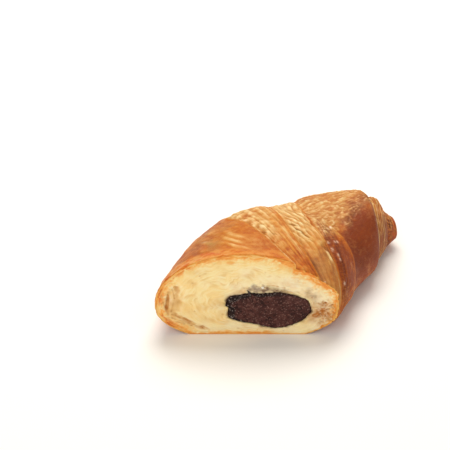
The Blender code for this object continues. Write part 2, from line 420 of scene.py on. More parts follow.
def gridPiece(name, rows, attributes, flow=None):
    # one closed body: rows of points joined round and along, with a pole that closes each end
    count, around = rows.shape[:2]
    points = np.concatenate([rows.reshape(-1, 3), rows[:1].mean(axis=1), rows[-1:].mean(axis=1)])
    i, j = np.meshgrid(np.arange(count - 1), np.arange(around), indexing="ij")
    k = (j + 1) % around
    here, ahead = i * around, (i + 1) * around
    quads = np.stack([here + j, here + k, ahead + k, ahead + j], -1).reshape(-1, 4)
    j = np.arange(around)
    k = (j + 1) % around
    first = np.stack([np.full(around, count * around), k, j], -1)
    last = np.stack([(count - 1) * around + j, (count - 1) * around + k, np.full(around, count * around + 1)], -1)
    corners = points[np.concatenate([quads[:, :3], quads[:, [0, 2, 3]], first, last])]
    if np.linalg.det(corners - points.mean(axis=0)).sum() < 0:
        quads, first, last = quads[:, ::-1], first[:, ::-1], last[:, ::-1]
    loops = np.concatenate([quads.ravel(), first.ravel(), last.ravel()]).astype(np.int32)
    starts = np.concatenate([np.arange(len(quads)) * 4, len(quads) * 4 + np.arange(2 * around) * 3])
    starts = starts.astype(np.int32)
    mesh = bpy.data.meshes.new(name)
    mesh.vertices.add(len(points))
    mesh.vertices.foreach_set("co", points.ravel().astype(np.float32))
    mesh.loops.add(len(loops))
    mesh.loops.foreach_set("vertex_index", loops)
    mesh.polygons.add(len(starts))
    mesh.polygons.foreach_set("loop_start", starts)
    mesh.update(calc_edges=True)
    mesh.polygons.foreach_set("use_smooth", np.ones(len(starts), bool))
    for label, values in attributes.items():
        values = np.concatenate([values.ravel(), [values[0].mean(), values[-1].mean()]])
        mesh.attributes.new(label, "FLOAT", "POINT").data.foreach_set("value", values.astype(np.float32))
    if flow is not None:
        flow = np.concatenate([flow.reshape(-1, 3), flow[:1].mean(axis=1), flow[-1:].mean(axis=1)])
        flow = flow.ravel().astype(np.float32)
        mesh.attributes.new("flow", "FLOAT_VECTOR", "POINT").data.foreach_set("vector", flow)
    piece = bpy.data.objects.new(name, mesh)
    bpy.context.scene.collection.objects.link(piece)
    print(name, "has", 2 * len(quads) + 2 * around, "triangles")
    return piece


# outer crust

crustSet = {
    "topColumns": 262,
    "baseColumns": 24,
    "rows": 322,
    "tipRows": 7,
    "wallRows": 14,
    "ring": 0.0005,        # width of the baked edge on the cut face
    "wall": 0.0022,        # thickness of the skin behind it
    "wallShare": 0.5,      # and at most this share of the way to the middle
    "wallBehind": 0.0012,  # how far the inner wall stays behind the cut
    "skinBehind": 0.00004,
    "wallBands": (5.6, 0.05),
    "unevenMm": 0.7,
    "leafMm": 0.5,
    "streakMm": 0.38,
    "crumpleMm": 0.34,
    "wrinkleMm": 0.55,
    "ridgeMm": 0.6,
    "leatherMm": 0.12,
    "rimMm": 0.24,
    "toast": 0.42,         # how long the whole skin has baked, 0 raw to 1 dark
    "underToast": 0.56,    # the same for the flat underside
    "wrapMm": 78.0,        # length of one band in the outer wrap
    "layerMm": 18.8,       # length of one band in the second pale zone
    # torn pits: band, degrees, half length round the roll, half width, depth, all in mm from the third on
    "pits": (
        (2.25, 80, 3.0, 0.70, 0.8),
        (2.29, 74, 3.2, 0.85, 1.0),
        (2.36, 68, 2.8, 0.80, 0.9),
        (2.43, 62, 2.0, 0.60, 0.6),
        (2.30, 88, 2.4, 0.60, 0.5),
        (1.13, 93, 2.0, 0.60, 0.6),
        (1.06, 84, 2.6, 0.65, 0.7),
        (1.40, 85, 1.6, 0.60, 0.5),
        (1.22, 80, 1.3, 0.50, 0.5),
    ),
    # shallow folds in the outer wrap: band, degrees, reach in degrees, height in mm
    "folds": (
        (0.785, 105, 8, 0.55),
        (0.735, 102, 6, 0.45),
        (0.757, 95, 4, 0.30),
        (0.840, 108, 12, 0.30),
        (0.800, 132, 6, 0.25),
        (0.700, 127, 5, 0.25),
    ),
    # beads of glaze on the baked ridges, raised and glossy, with painted glints on them: band, degrees, reach in
    # degrees
    "sparkles": (
        (3.24, 49.2, 1.2), (3.18, 50.0, 1.0), (3.12, 38.9, 1.3), (3.12, 35.0, 1.1), (3.04, 52.1, 0.8),
        (3.09, 17.0, 1.2), (3.26, 65.1, 1.2), (2.21, 32.7, 1.0), (3.05, 45.5, 1.6),
    ),
    # edge of the flap of the pale cut layer: degrees, band
    "flapEdge": ((36, 2.985), (41.6, 2.91), (46, 2.88), (49, 2.80), (52, 2.68)),
    # where the comb of baked ridges starts: degrees, band
    "combFrom": ((34, 3.015), (41.6, 2.93), (47.5, 2.90), (50.6, 2.88), (56, 2.97), (66, 3.0)),
}


def mmPast(number, s, degrees):
    # distance in mm beyond one rolled edge
    return (s - edgeStation(number, degrees)) * rollSet["mmPerStation"]


def crustDetail(band, degrees, values):
    # fine relief in mm and the masks that colour it, from band, angle and noise
    s = stationOf(band, degrees)
    at = np.moveaxis(rollSurface(s, degrees, mainRelief(band, degrees)) * 1000.0, -1, 0)
    around = degrees * rollSet["mmPerDegree"]
    along = s * rollSet["mmPerStation"]
    wander = softNoise(*at / 6, 13)
    height = values["unevenMm"] * layeredNoise(*at / 15, 11, 2)

    # lip of the outer wrap: ragged over the top, a clean edge low on the near side
    rough = rise(degrees, 72, 18)
    ragged = 0.8 * softNoise(around / 3.6, 0.0, 0.0, 21) + 0.5 * softNoise(around / 1.2, 0.0, 0.0, 22)
    ragged = ragged * (0.15 + 1.1 * rough)
    pastLip = mmPast(1, s, degrees) + ragged
    lipShow = rise(degrees, 18, 25) * (1 - 0.5 * rise(degrees, 120, 40))
    lipHeight = 0.4 * bump(pastLip, -0.45, 0.6) - 0.6 * rise(pastLip, -0.1, 0.4) * fall(pastLip, 0.8, 5)
    height += lipShow * lipHeight

    # first pale zone: leaves and crinkles that follow the lip
    firstZone = rise(pastLip, 0.2, 0.6) * fall(band, 1.93, 0.08)
    sway = softNoise(*at / 16, 12)
    crumple = softNoise(*at / 2.2, 14) + 0.5 * softNoise(*at / 1.1, 15)
    past = mmPast(1, s, degrees)
    bent = past + ragged * np.exp(-np.clip(past, 0, None) / 2.0) + 0.9 * sway + 0.2 * wander
    leafA, toneA, dropA = leaves(bent, around, 3.6, 0.18, 31)
    streakA = layeredNoise(bent / 1.2, around / 12, 0.0, 35, 3) + 0.2 * crumple
    crumpled = rough * fall(pastLip, 5, 5) * (1 - 0.6 * rise(degrees, 120, 20))
    calm = 1 - 0.35 * rise(degrees, 112, 30)
    layered = values["leafMm"] * (leafA - 0.35 + 0.3 * toneA) + values["streakMm"] * streakA
    height += firstZone * calm * layered
    height += firstZone * values["crumpleMm"] * (0.2 + crumpled) * crumple

    # second pale zone: crinkles that run round the roll over the top and turn along the edges lower down
    pastRidge = mmPast(2, s, degrees) + 0.3 * softNoise(around / 4, 0.0, 0.0, 41)
    secondZone = rise(band, 2.02, 0.05) * fall(band, 2.96, 0.05)
    turned = 0.47 * 6.0 * np.logaddexp(0.0, (degrees - 55) / 6.0)
    turnShare = window(degrees, 50, 104, 14)
    bentC = pastRidge + 1.0 * sway + 0.25 * wander
    slanted = pastRidge + turned + 0.8 * sway + 0.5 * wander
    leafC, toneC, dropC = leaves(bentC, around, 4.4, 0.2, 42)
    foldC = leaves(slanted, around, 3.7, 0.4, 45)[0]
    streakC = layeredNoise(bentC / 1.4, around / 14, 0.0, 44, 3) * (1 - turnShare) + 0.2 * crumple
    streakC = streakC + 0.6 * layeredNoise(slanted / 1.8, around / 6, 0.0, 48, 2) * turnShare
    upper = rise(degrees, 48, 14)
    layered = values["leafMm"] * (leafC - 0.35 + 0.3 * toneC) + values["streakMm"] * streakC
    height += secondZone * calm * (0.35 + 0.65 * upper) * layered
    layered = 0.5 * turnShare * (foldC - 0.5) + values["crumpleMm"] * (0.15 + 0.25 * upper) * crumple
    height += secondZone * layered
    flapEdge = np.interp(degrees, *np.transpose(values["flapEdge"]))
    pastFlap = (band - flapEdge) * values["layerMm"]
    flapShow = window(degrees, 36, 51.5, 5) + 0.35 * window(degrees, 2, 44, 9)
    # edge of the flap raised, and marked for a painted highlight; the seam a groove, marked for painted shade
    flapEdgeHighlight = bump(pastFlap, -1.5, 1.2) * flapShow
    flapDrop = rise(pastFlap, -0.2, 0.6) * ease((3.0 - band) / 0.04) * window(degrees, 34, 56, 5)
    seam = bump(band, 2.11, 0.05) * window(degrees, 12, 80, 14) * (0.75 + 0.5 * sway)
    height += 0.55 * flapEdgeHighlight - 0.7 * flapDrop - 0.45 * seam

    # pits torn between the crinkles
    pitDepth = 0.0 * band
    wavy = 0.45 * softNoise(around / 1.4, along / 1.4, 0.0, 50)
    for pitBand, pitDegrees, reach, wide, depth in values["pits"]:
        pitStation = stationOf(np.array([float(pitBand)]), np.array([float(pitDegrees)]))[0]
        offAlong = (s - pitStation) * rollSet["mmPerStation"]
        offAround = around - rollSet["mmPerDegree"] * pitDegrees
        away = np.sqrt((offAround / reach) ** 2 + ((offAlong + wavy + 0.12 * offAround) / wide) ** 2)
        pitDepth = np.maximum(pitDepth, depth * ease(1.25 * (1 - away)))
    height -= pitDepth

    # fine grooves on the ridge between the pale zones
    ridgeZone = window(band, 1.55, 2.03, 0.12)
    height += ridgeZone * 0.3 * (leaves(mmPast(2, s, degrees), around, 1.7, 0.4, 56)[0] - 0.5)

    # baked ridges on the near side beside the groove, and the thin line that borders the dark skin
    ridgeShow = fall(degrees, 62, 22)
    combPlace = mmPast(3, s, degrees) / 2.0 + 0.3 * softNoise(around / 6, band, 0.0, 61)
    combLine = np.floor(combPlace)
    combShare = combPlace - combLine
    groove = 0.45 + 0.55 * ease(0.5 + softNoise(around / 5, combLine * 3.1, 0.0, 62))
    comb = 1 - bump(combShare, 0.5, 0.17) * groove
    thread = bump(combShare, 0.80, 0.10) * ease(0.4 + 0.9 * softNoise(around / 4, combLine * 5.3, 0.0, 64))
    combFrom = np.interp(degrees, *np.transpose(values["combFrom"]))
    ridges = ease((band - combFrom) / 0.03) * fall(band, 3.18, 0.08) * ridgeShow
    height += ridges * values["ridgeMm"] * (comb - 0.8)
    # beads of glaze, raised a little and marked for painted glints
    sparkle = 0.0 * band
    for dropBand, dropDegrees, reach in values["sparkles"]:
        sparkle = sparkle + bump(band, dropBand, 0.013) * bump(degrees, dropDegrees, reach)
    height += 0.25 * sparkle
    borderBand = 3.49 - 0.18 * (np.clip(degrees - 20, 0, None) / 41) ** 2 - 0.05 * ease((15 - degrees) / 25)
    borderShow = fall(degrees, 60, 15)
    border = bump(band, borderBand, 0.012) * borderShow
    beyondBorder = ease((band - borderBand) / 0.03)
    height += 0.22 * border - 0.2 * beyondBorder * fall(band - borderBand, 0.1, 0.2) * borderShow
    streakZone = rise(band, 3.1, 0.05) * ease((borderBand - band) / 0.03) * ridgeShow
    scratch = creased(mmPast(3, s, degrees) / 2.2 + 0.4 * wander, around / 7.0, 0.0, 63, 2)
    height += 0.3 * streakZone * (scratch - 0.4)

    # wrinkles over the top and far side of the next turn, drawn out along the roll
    third = rise(band, 3.0, 0.03) * fall(band, 4.0, 0.02)
    wavyEdge = 7 * softNoise(along / 8, around / 8, 0.0, 70) + 4 * softNoise(along / 2.5, around / 2.5, 0.0, 69)
    blisterZone = third * ease((degrees - 46 - 16 * rise(band, 3.4, 0.5) - wavyEdge) / 16)
    blisterZone = blisterZone * (1 - 0.5 * rise(degrees, 150, 40))
    wrinkle = creased(around / 1.7 + 0.9 * wander, along / 3.8 + 0.6 * wander, 0.0, 72, 3)
    near, second, value = cellNoise(along / 2.7 + wander, around / 1.5 + 0.8 * wander + 0.4 * crumple, 0.0, 74)
    dome = ease((second - near) / 0.8) * (0.25 + 0.75 * value)
    near, second, value = cellNoise(along / 1.6 + wander, around / 1.0 + 0.8 * wander, 0.0, 78)
    dome = dome + 0.45 * ease((second - near) / 0.8) * (0.2 + 0.8 * value)
    height += blisterZone * values["wrinkleMm"] * (0.7 * wrinkle + 0.8 * dome - 0.7)

    # narrow cut layers of the last step, the lobe over it, and creases in the tip
    stepZone = rise(band, 4.03, 0.04) * fall(band, 5.0, 0.1)
    leafD, toneD, _ = leaves(mmPast(4, s, degrees) + 0.3 * wander, around, 1.6, 0.35, 81)
    height += stepZone * (0.35 * (leafD - 0.4) + 0.2 * crumple)
    height += 1.9 * bump(degrees, 100, 20) * window(band, 4.2, 5.2, 0.4)
    height -= 0.5 * bump(degrees, 66, 10) * window(band, 4.2, 5.3, 0.3)
    tipZone = rise(band, 5.04, 0.06)
    low = window(degrees, -40, 30, 14)
    tipFold = creased(around / 3.2 + 0.8 * wander, along / 7.0, 0.0, 84, 2)
    tipFold = tipFold * window(degrees, 5, 80, 25) * fall(band, 5.6, 0.3)
    laminated = leaves(around * 0.8 + 0.4 * wander, along, 1.4, 0.35, 86)[0] * low * fall(band, 5.5, 0.3)
    rings = leaves(along + 0.8 * sway + 2.2 * degrees / 360, around, 2.2, 0.3, 87)[0] * (1 - low)
    height += tipZone * (0.7 * (tipFold - 0.5) + 0.5 * (laminated - 0.4) + 0.45 * (rings - 0.7))

    # shallow folds in the smooth outer wrap
    outerZone = fall(pastLip, -1.2, 1.2) * rise(degrees, 5, 20)
    folds = 0.0
    for foldBand, foldDegrees, reach, heightMm in values["folds"]:
        pastFold = (band - foldBand - 0.00016 * (degrees - foldDegrees) ** 2) * values["wrapMm"] + 0.5 * wander
        crest = rise(pastFold, -1.7, 1.9) * fall(pastFold, 0.1, 2.6) - 0.35 * bump(pastFold, -2.0, 0.8)
        folds = folds + heightMm * bump(degrees, foldDegrees, reach) * crest
    height += outerZone * folds
    height += outerZone * 0.16 * softNoise(*at / 4.0, 91)
    leather = layeredNoise(bent / 1.5 + wander, around / 4.0, 0.0, 93, 3)
    height += values["leatherMm"] * outerZone * leather
    height += fall(degrees, 20, 25) * fall(band, 3.0, 0.05) * 0.25 * (leafA - 0.4)

    # the knife drags the skin down at the cut
    pastCut = at[1] + rollSet["middle"][1] * 1000.0
    height -= 0.3 * (1 - ease(pastCut / 1.0)) ** 2
    height += 0.9 * rise(degrees, 140, 30) * (1 - ease(pastCut / 25))
    leftness = rise(degrees, 92, 35)
    torn = layeredNoise(around / 2.0 + wander, pastCut / 1.5, 0.0, 131, 3)
    rimZone = 1 - ease((pastCut - 3.5 - 3.0 * leftness - 2.0 * wander) / 4.5)
    rimZone = rimZone * rise(at[2], 3, 8) * fall(band, 1.5, 0.5)
    height += values["rimMm"] * rimZone * (0.4 + 0.6 * leftness) * torn
    height += 0.07 * layeredNoise(*at / 1.2, 95, 2)

    masks = SimpleNamespace(
        at=at, around=around, rough=rough, crumple=crumple, pastLip=pastLip, pastFold=pastFold, pitDepth=pitDepth,
        firstZone=firstZone, toneA=toneA, dropA=dropA, streakA=streakA,
        secondZone=secondZone, toneC=toneC, dropC=dropC, streakC=streakC, foldC=foldC, turnShare=turnShare,
        flapEdgeHighlight=flapEdgeHighlight, seam=seam, ridges=ridges, comb=comb, thread=thread, sparkle=sparkle,
        border=border, beyondBorder=beyondBorder, streakZone=streakZone, scratch=scratch,
        third=third, blisterZone=blisterZone, wrinkle=wrinkle, dome=dome,
        stepZone=stepZone, leafD=leafD, toneD=toneD,
        tipZone=tipZone, tipFold=tipFold, laminated=laminated, rings=rings,
        outerZone=outerZone, folds=folds, leather=leather, leftness=leftness, rimZone=rimZone, torn=torn,
    )
    # place across the strands and along them, in mm, for the fine grain of the finish
    across = np.where(band < 3, slanted, around + 2 * wander)
    across = np.where(band < 1, mmPast(1, s, degrees), np.where(band < 2.03, bent, across))
    masks.flow = np.stack([across, np.where(band < 3, around, along * 0.6), np.floor(band) * 5.0], axis=-1)
    return height, masks


def crustColours(band, degrees, m, values):
    # toast from 0 (raw cream) to 1 (dark brown), with painted shade in creases and over the upper left, pale for cut
    # layers and painted highlights, gloss for egg wash, olive for a greyer, greener tone in hollows and over the
    # upper left, glint for painted glints on beads of glaze and crests, rimGlow and ember for the scorched rim; each
    # a sum of the masks m by share
    patch = layeredNoise(*m.at / 12, 101, 3)
    fleck = layeredNoise(*m.at / 3, 104, 2)
    outer = fall(m.pastLip, -0.3, 0.5)
    toast = values["toast"] + 0.07 * patch + 0.04 * fleck + 0 * band
    toast += outer * (0.02 + 0.10 * bump(degrees, 84, 20) * rise(band, 0.7, 0.2))
    # painted shadow: the outer wrap darker over the upper left
    toast += outer * 0.16 * rise(degrees, 114, 20)
    toast += outer * 0.05 * bump(degrees, 126, 11) * bump(band, 0.66, 0.12)

    # scorched rim of the cut, and the lip: a painted highlight on its edge, painted shade in the crease beside it
    # and under it
    rimBand = m.rimZone * (0.35 + 0.65 * outer)
    red = rise(m.torn, 0.05, 0.35)
    ember = rimBand * red * (0.5 + 0.8 * m.leftness) * (1 - 0.75 * rise(degrees, 135, 30))
    toast += rimBand * (0.10 * red - 0.06 + 0.10 * patch)
    lipHighlight = bump(m.pastLip, -0.25, 0.6) * (1 - m.rough) * rise(degrees, 8, 20)
    creaseShade = bump(m.pastLip, 0.8, 0.6) * (1 - m.rough)
    under = bump(m.pastLip, 0.55, 0.5) * m.rough * fall(degrees, 118, 14)
    toast += 0.16 * creaseShade - 0.25 * lipHighlight + 0.14 * under

    # the two pale zones, the ridge between them and the flap; a painted highlight on the flap's edge and painted
    # shade in the seam
    lower = fall(degrees, 55, 25)
    layers = 0.10 * m.toneA + 0.08 * m.dropA - 0.15 * m.streakA - 0.05 * m.crumple
    toast += m.firstZone * (-0.06 + 0.20 * lower + layers)
    ridgeFace = window(band, 1.6, 2.03, 0.1) * fall(degrees, 92, 14)
    # painted highlight along the ridge's top
    paintedRidgeHighlight = bump(band, 1.80, 0.07) * window(degrees, 52, 108, 16)
    toast += ridgeFace * (0.10 + 0.08 * fleck) - 0.14 * paintedRidgeHighlight
    lower = fall(degrees, 44, 22)
    layers = 0.08 * m.toneC + 0.06 * m.dropC - 0.08 * m.streakC - 0.05 * m.turnShare * (m.foldC - 0.5)
    toast += m.secondZone * (-0.10 + (0.25 + 0.14 * fleck) * lower + layers)
    toast += 0.26 * m.seam - 0.24 * m.flapEdgeHighlight
    toast -= m.secondZone * 0.10 * m.crumple * window(degrees, 36, 66, 10)
    sliver = window(band, 2.86, 3.02, 0.05) * window(degrees, 64, 92, 8)
    toast += 0.22 * sliver

    # next turn: dark low on the near side, blistered over the top; blister crests, beads of glaze and scratches on
    # the streaks lighter as painted highlights
    darkFrom = 44 + 34 * rise(band, 3.35, 0.6) + 6 * fleck + 5 * patch
    darkSide = 1 - ease((degrees - darkFrom) / 26)
    darkSide = darkSide * (1 - 0.42 * fall(degrees, -8, 26)) * (1 - 0.40 * rise(degrees, 50, 24))
    toast += m.third * (0.03 + darkSide * (0.24 + 0.16 * m.beyondBorder))
    toast += m.third * 0.10 * rise(degrees, 120, 40)
    toast -= m.blisterZone * 0.20 * (0.6 * m.dome + 0.8 * m.wrinkle - 0.75)
    toast += m.ridges * (0.08 + 0.42 * (0.85 - m.comb) - 0.34 * m.thread) - 0.3 * m.sparkle
    toast += m.streakZone * (0.10 - 0.15 * rise(m.scratch, 0.35, 0.4))
    toast -= 0.12 * m.border

    # smooth outer wrap with painted highlights on its folds and a painted sheen, last step, and tip
    sheen = layeredNoise(m.pastFold / 5 + 0.6 * patch, m.around / 16, 0.0, 107, 3)
    toast -= m.outerZone * (0.40 * np.clip(m.folds, -0.3, 0.6) + 0.07 * sheen + 0.09 * m.leather)
    lower = fall(degrees, 40, 20)
    toast += m.stepZone * (0.12 + 0.16 * m.toneD - 0.10 * (m.leafD - 0.4) + 0.22 * lower)
    nearTip = m.tipZone * fall(degrees, 70, 40)
    layers = 0.25 * (m.tipFold - 0.3) + 0.2 * (m.laminated - 0.3) + 0.25 * (m.rings - 0.5)
    toast += m.tipZone * (-0.04 + 0.06 * fleck - layers)
    toast += nearTip * (0.12 + 0.22 * rise(fleck + 0.8 * patch, 0.05, 0.35))
    # painted shade in the deep crease before the tip
    toast += 0.16 * bump(band, 5.06, 0.05) * fall(degrees, 90, 30)
    ember += nearTip * 0.7 * ease((-0.05 - fleck) / 0.3)

    # pale cut layers, and painted highlights on the lip's edge, the flap's edge, the ridge's top, the fold crests
    # and sheen, the last step's edge and the blister crests
    layers = 0.9 + 0.4 * m.toneA - 0.25 * m.dropA + 0.8 * m.streakA + 0.2 * m.crumple
    pale = m.firstZone * (0.06 + 0.68 * rise(degrees, 68, 24) * layers) * (1 - ridgeFace)
    layers = 1.0 + 0.3 * m.toneC - 0.2 * m.dropC + 0.45 * m.streakC + 0.15 * m.crumple
    pale += m.secondZone * (0.22 + 0.62 * rise(degrees, 56, 20) * layers) * (1 - sliver)
    pale += m.stepZone * 0.5 * m.leafD + 0.9 * lipHighlight + 0.6 * m.flapEdgeHighlight
    pale += m.outerZone * (0.9 * np.clip(m.folds, 0, 0.5) + 0.16 * np.clip(sheen + 0.1, 0, 1))
    pale += m.outerZone * 0.16 * np.clip(m.leather, 0, 1)
    pale += rimBand * 0.8 * ease((0.05 - m.torn) / 0.3) * (0.22 + 0.85 * m.leftness)
    pale += 0.65 * paintedRidgeHighlight + 0.75 * bump(band, 4.08, 0.05) * window(degrees, 0, 110, 20)
    crest = np.clip(0.5 * m.dome + 0.8 * m.wrinkle - 0.25, 0, 1)
    pale += m.blisterZone * (0.32 + 0.76 * crest) * (1 - 0.75 * darkSide) * (1 - 0.35 * rise(degrees, 105, 30))
    layers = 0.30 + 0.5 * np.clip(m.rings + 0.5 * m.tipFold - 0.3, 0, 1)
    pale += m.tipZone * layers * rise(degrees, 5, 20) * (1 - 0.65 * nearTip)
    pale = pale * (1 - 0.4 * rise(degrees, 140, 40))

    gloss = m.third * 0.3 + 0.25 * m.outerZone + 0.5 * m.ridges + 0.2 * ridgeFace
    gloss += 0.5 * m.outerZone * np.clip(2 * m.folds, 0, 1)
    gloss += 0.35 * m.blisterZone * np.clip(m.dome, 0, 1) + 1.0 * m.sparkle

    # greyer, greener tone in the pits, on the drops of the layers, on the last step and the blisters, low on the
    # second pale zone, and over the upper left of the outer wrap as part of the painted shadow there
    olive = 0.9 * np.clip(m.pitDepth, 0, 1) + 0.12 * m.secondZone * m.dropC * rise(degrees, 56, 15)
    olive += 0.15 * m.firstZone * m.dropA * m.rough + 0.12 * m.stepZone + 0.14 * m.blisterZone * (1 - darkSide)
    olive += 0.6 * bump(degrees, 122, 7) * bump(band, 0.71, 0.05) * rise(fleck, -0.3, 0.6)
    # upper left of the outer wrap, greyer as part of the painted shadow there
    thin = outer * window(degrees, 104, 150, 16) * (1 - rimBand)
    olive += thin * np.clip(0.17 + 0.3 * patch + 0.4 * fleck, 0, 0.32)
    olive += 0.25 * m.secondZone * fall(degrees, 45, 20) * (1 - m.flapEdgeHighlight)

    # painted glints on the beads of glaze, on blister crests and on the streaks
    near, _, value = cellNoise(*m.at / 1.3, 121)
    dots = ease((0.42 - near) / 0.25) * (value > 0.6)
    glint = 1.3 * m.sparkle + 0.35 * dots * (m.blisterZone * rise(crest, 0.25, 0.4) + 0.25 * m.streakZone)
    rimGlow = rimBand * (0.45 - 0.35 * red)
    return {
        "toast": toast, "pale": pale, "gloss": gloss, "olive": olive, "glint": glint,
        "rimGlow": rimGlow, "ember": ember,
    }


def edgeWidth(x, z):
    # thickness of the baked edge round the cut face: soft noise on the place, thin under the bottom right
    thin = 1 - 0.6 * rise(x, 0.004, 0.015) * ease((0.008 - z) / 0.006)
    return crustSet["ring"] * thin * (1 + 0.7 * layeredNoise(x * 400.0, z * 400.0, 0.0, 111, 2))


def makeCrust(values):
    degrees, share = rollColumns(values["topColumns"], values["baseColumns"])
    tops = len(degrees)
    cutBand = bandAtCut(degrees, share)
    band = evenRows(cutBand, degrees, share, values["rows"])
    saved = {}

    def relief(b, a):
        height, masks = crustDetail(b, a, values)
        saved["height"], saved["masks"] = height, masks
        return mainRelief(b, a) + height

    skin = closedRing(band, degrees, share, relief)
    cutY = -rollSet["middle"][1]
    skin[0, :, 1] = cutY
    skin[1:, :, 1] = np.maximum(skin[1:, :, 1], cutY + values["skinBehind"])
    height, masks = saved["height"], saved["masks"]
    flat = band[:, :tops]
    colours = crustColours(flat, np.broadcast_to(degrees, flat.shape), masks, values)

    # base columns take a plain baked finish, blended from the corners
    full = {}
    column = np.arange(len(share))
    mixed = ease(np.minimum(column + 1, len(share) - column) / 5.0)[None]
    for label, grid in colours.items():
        plain = values["underToast"] if label == "toast" else 0.0
        corner = np.where(column < len(share) / 2, grid[:, -1:], grid[:, :1])
        full[label] = np.concatenate([grid, corner * (1 - mixed) + plain * mixed], axis=1)
    full["raised"] = np.pad(height - evened(height, 5), ((0, 0), (0, len(share))))
    flow = np.concatenate([masks.flow, np.repeat(masks.flow[:, -1:], len(share), axis=1)], axis=1)
    flow[:, tops:, 1] += (column + 1) * 3.0

    # rounded tip: rows that shrink towards a pole ahead of the last one
    middle = skin[-1].mean(axis=0)
    ahead = np.append(axisAt(np.array(1.0))[1], 0.0) * rollSet["tipRound"]
    turn = np.linspace(0, math.pi / 2, values["tipRows"] + 1)[1:-1, None, None]
    tip = middle + (skin[-1] - middle) * np.cos(turn) + ahead * np.sin(turn)

    # baked edge on the cut face and the skin's inner wall
    centre = np.array(chocolateSet["centre"])
    rim = skin[0]
    inward = np.stack([centre[0] - rim[:, 0], 0 * rim[:, 0], centre[1] - rim[:, 2]], axis=-1)
    inward = inward / np.linalg.norm(inward, axis=1, keepdims=True)
    lay = np.linspace(1, 0, 5)[:-1, None, None]
    edge = rim + inward * lay * edgeWidth(rim[:, 0], rim[:, 2])[:, None]
    levels = np.linspace(*values["wallBands"], values["wallRows"])
    wall = innerWall(levels, cutBand, degrees, share, values["wall"], values["wallShare"], values["wallBehind"])

    rows = np.concatenate([wall, edge, skin, tip])
    hidden = len(wall) + len(edge)
    attributes = {}
    for label, grid in full.items():
        fade = np.cos(turn[..., 0])
        after = grid[-1:] * fade + grid[-1:].mean() * (1 - fade)
        attributes[label] = np.concatenate([np.repeat(grid[:1], hidden, axis=0), grid, after])
    ragged = layeredNoise(rim[:, 0] * 700.0, rim[:, 2] * 700.0, 0.0, 115, 2)
    attributes["rimGlow"][:hidden] = 0.15 + 0.35 * rise(rim[:, 2], 0.012, 0.02) + 0.4 * ragged
    attributes["toast"][:hidden] = 0.06 + 0.16 * ragged
    attributes["ember"][:hidden] = rise(ragged, 0.05, 0.3) * rise(rim[:, 2], 0.010, 0.02)
    for label in ("pale", "olive", "gloss", "glint"):
        attributes[label][:hidden] = 0.0
    flow = np.concatenate([np.repeat(flow[:1], hidden, axis=0), flow, flow[-1:] * np.cos(turn)])
    piece = gridPiece("bakedCrust", rows, attributes, flow)
    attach(piece, "root")
    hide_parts("croissant_half")
    rimAngle = np.arctan2(rim[:, 2] - centre[1], rim[:, 0] - centre[0])
    return piece, rimAngle, np.hypot(rim[:, 0] - centre[0], rim[:, 2] - centre[1])


chocolateSet = {
    "centre": (-0.0060, 0.0137),     # x and z of the oval's middle on the cut face
    # outline of the filling: degrees round its middle, mm from it
    "outline": (
        (-180, 19.2), (-167.5, 19.4), (-163, 18.2), (-156, 15.8), (-138, 11.5), (-111, 9.5), (-86, 10.1),
        (-56, 11.9), (-37, 13.7), (-23, 16.0), (-11, 17.7), (-1, 19.0), (15, 18.6), (21, 17.3), (29, 15.0),
        (49, 12.0), (71, 10.2), (93, 9.3), (114, 9.9), (128, 12.0), (131.5, 12.6), (134, 15.3), (137, 13.8),
        (143, 15.0), (150, 16.8), (157, 19.4), (165, 20.5), (174, 20.8), (177, 19.3), (180, 19.2),
    ),
    "columns": 400,
    "faceRows": 80,
    "sideRows": 30,
    "proud": 0.0002,
    "mostProud": 0.0006,
    "roundMm": 0.7,        # how far the face drops at its edge
    "end": 0.66,           # station along the roll where the filling ends
    "raggedMm": 0.35,
    "grainMm": 0.22,
}


def ovalReach(angle, values, grow=0.0):
    # distance from the middle to the edge: the outline's table and a little soft noise
    degrees, mm = np.array(values["outline"]).T
    cx, cz = np.cos(angle), np.sin(angle)
    reach = through(np.degrees(np.arctan2(cz, cx)), degrees, mm)
    ragged = 0.6 * softNoise(cx * 6, cz * 6, 0.0, 201) + 0.5 * softNoise(cx * 14, cz * 14, 0.0, 202)
    ragged = ragged + 0.4 * softNoise(cx * 30, cz * 30, 0.0, 203)
    return (reach + ragged * values["raggedMm"]) / 1000.0 + grow


def fillingWall(angle, depth, values, grow=0.0):
    # sides of the filling: the oval carried along the roll's axis and drawn in to a blunt end
    s = depth * values["end"]
    point, along = axisAt(s)
    start = point - axisAt(np.zeros_like(s))[0]
    size, tall = (through(s, rollSet["station"], rollSet[k]) / through(0.0, rollSet["station"], rollSet[k])
                  for k in ("halfWidth", "height"))
    taper = np.sqrt(np.clip(1 - depth ** 6, 0, 1))
    reach = ovalReach(angle, values)
    side = np.stack([along[..., 1], -along[..., 0]], axis=-1)
    middle = np.array(rollSet["axis"][0][0] - rollSet["middle"][0])
    offset = (values["centre"][0] - middle) * size + (reach * size * taper + grow) * np.cos(angle)
    straight = ease(depth / 0.5)[..., None]
    side = side * straight + np.array((1.0, 0.0)) * (1 - straight)
    place = np.array((middle, -rollSet["middle"][1])) + start + side * offset[..., None]
    up = values["centre"][1] * tall + (reach * tall * taper + grow) * np.sin(angle)
    return np.concatenate([place, up[..., None]], axis=-1)


# run the crust, then the inside

crust, rimAngle, rimReach = makeCrust(crustSet)

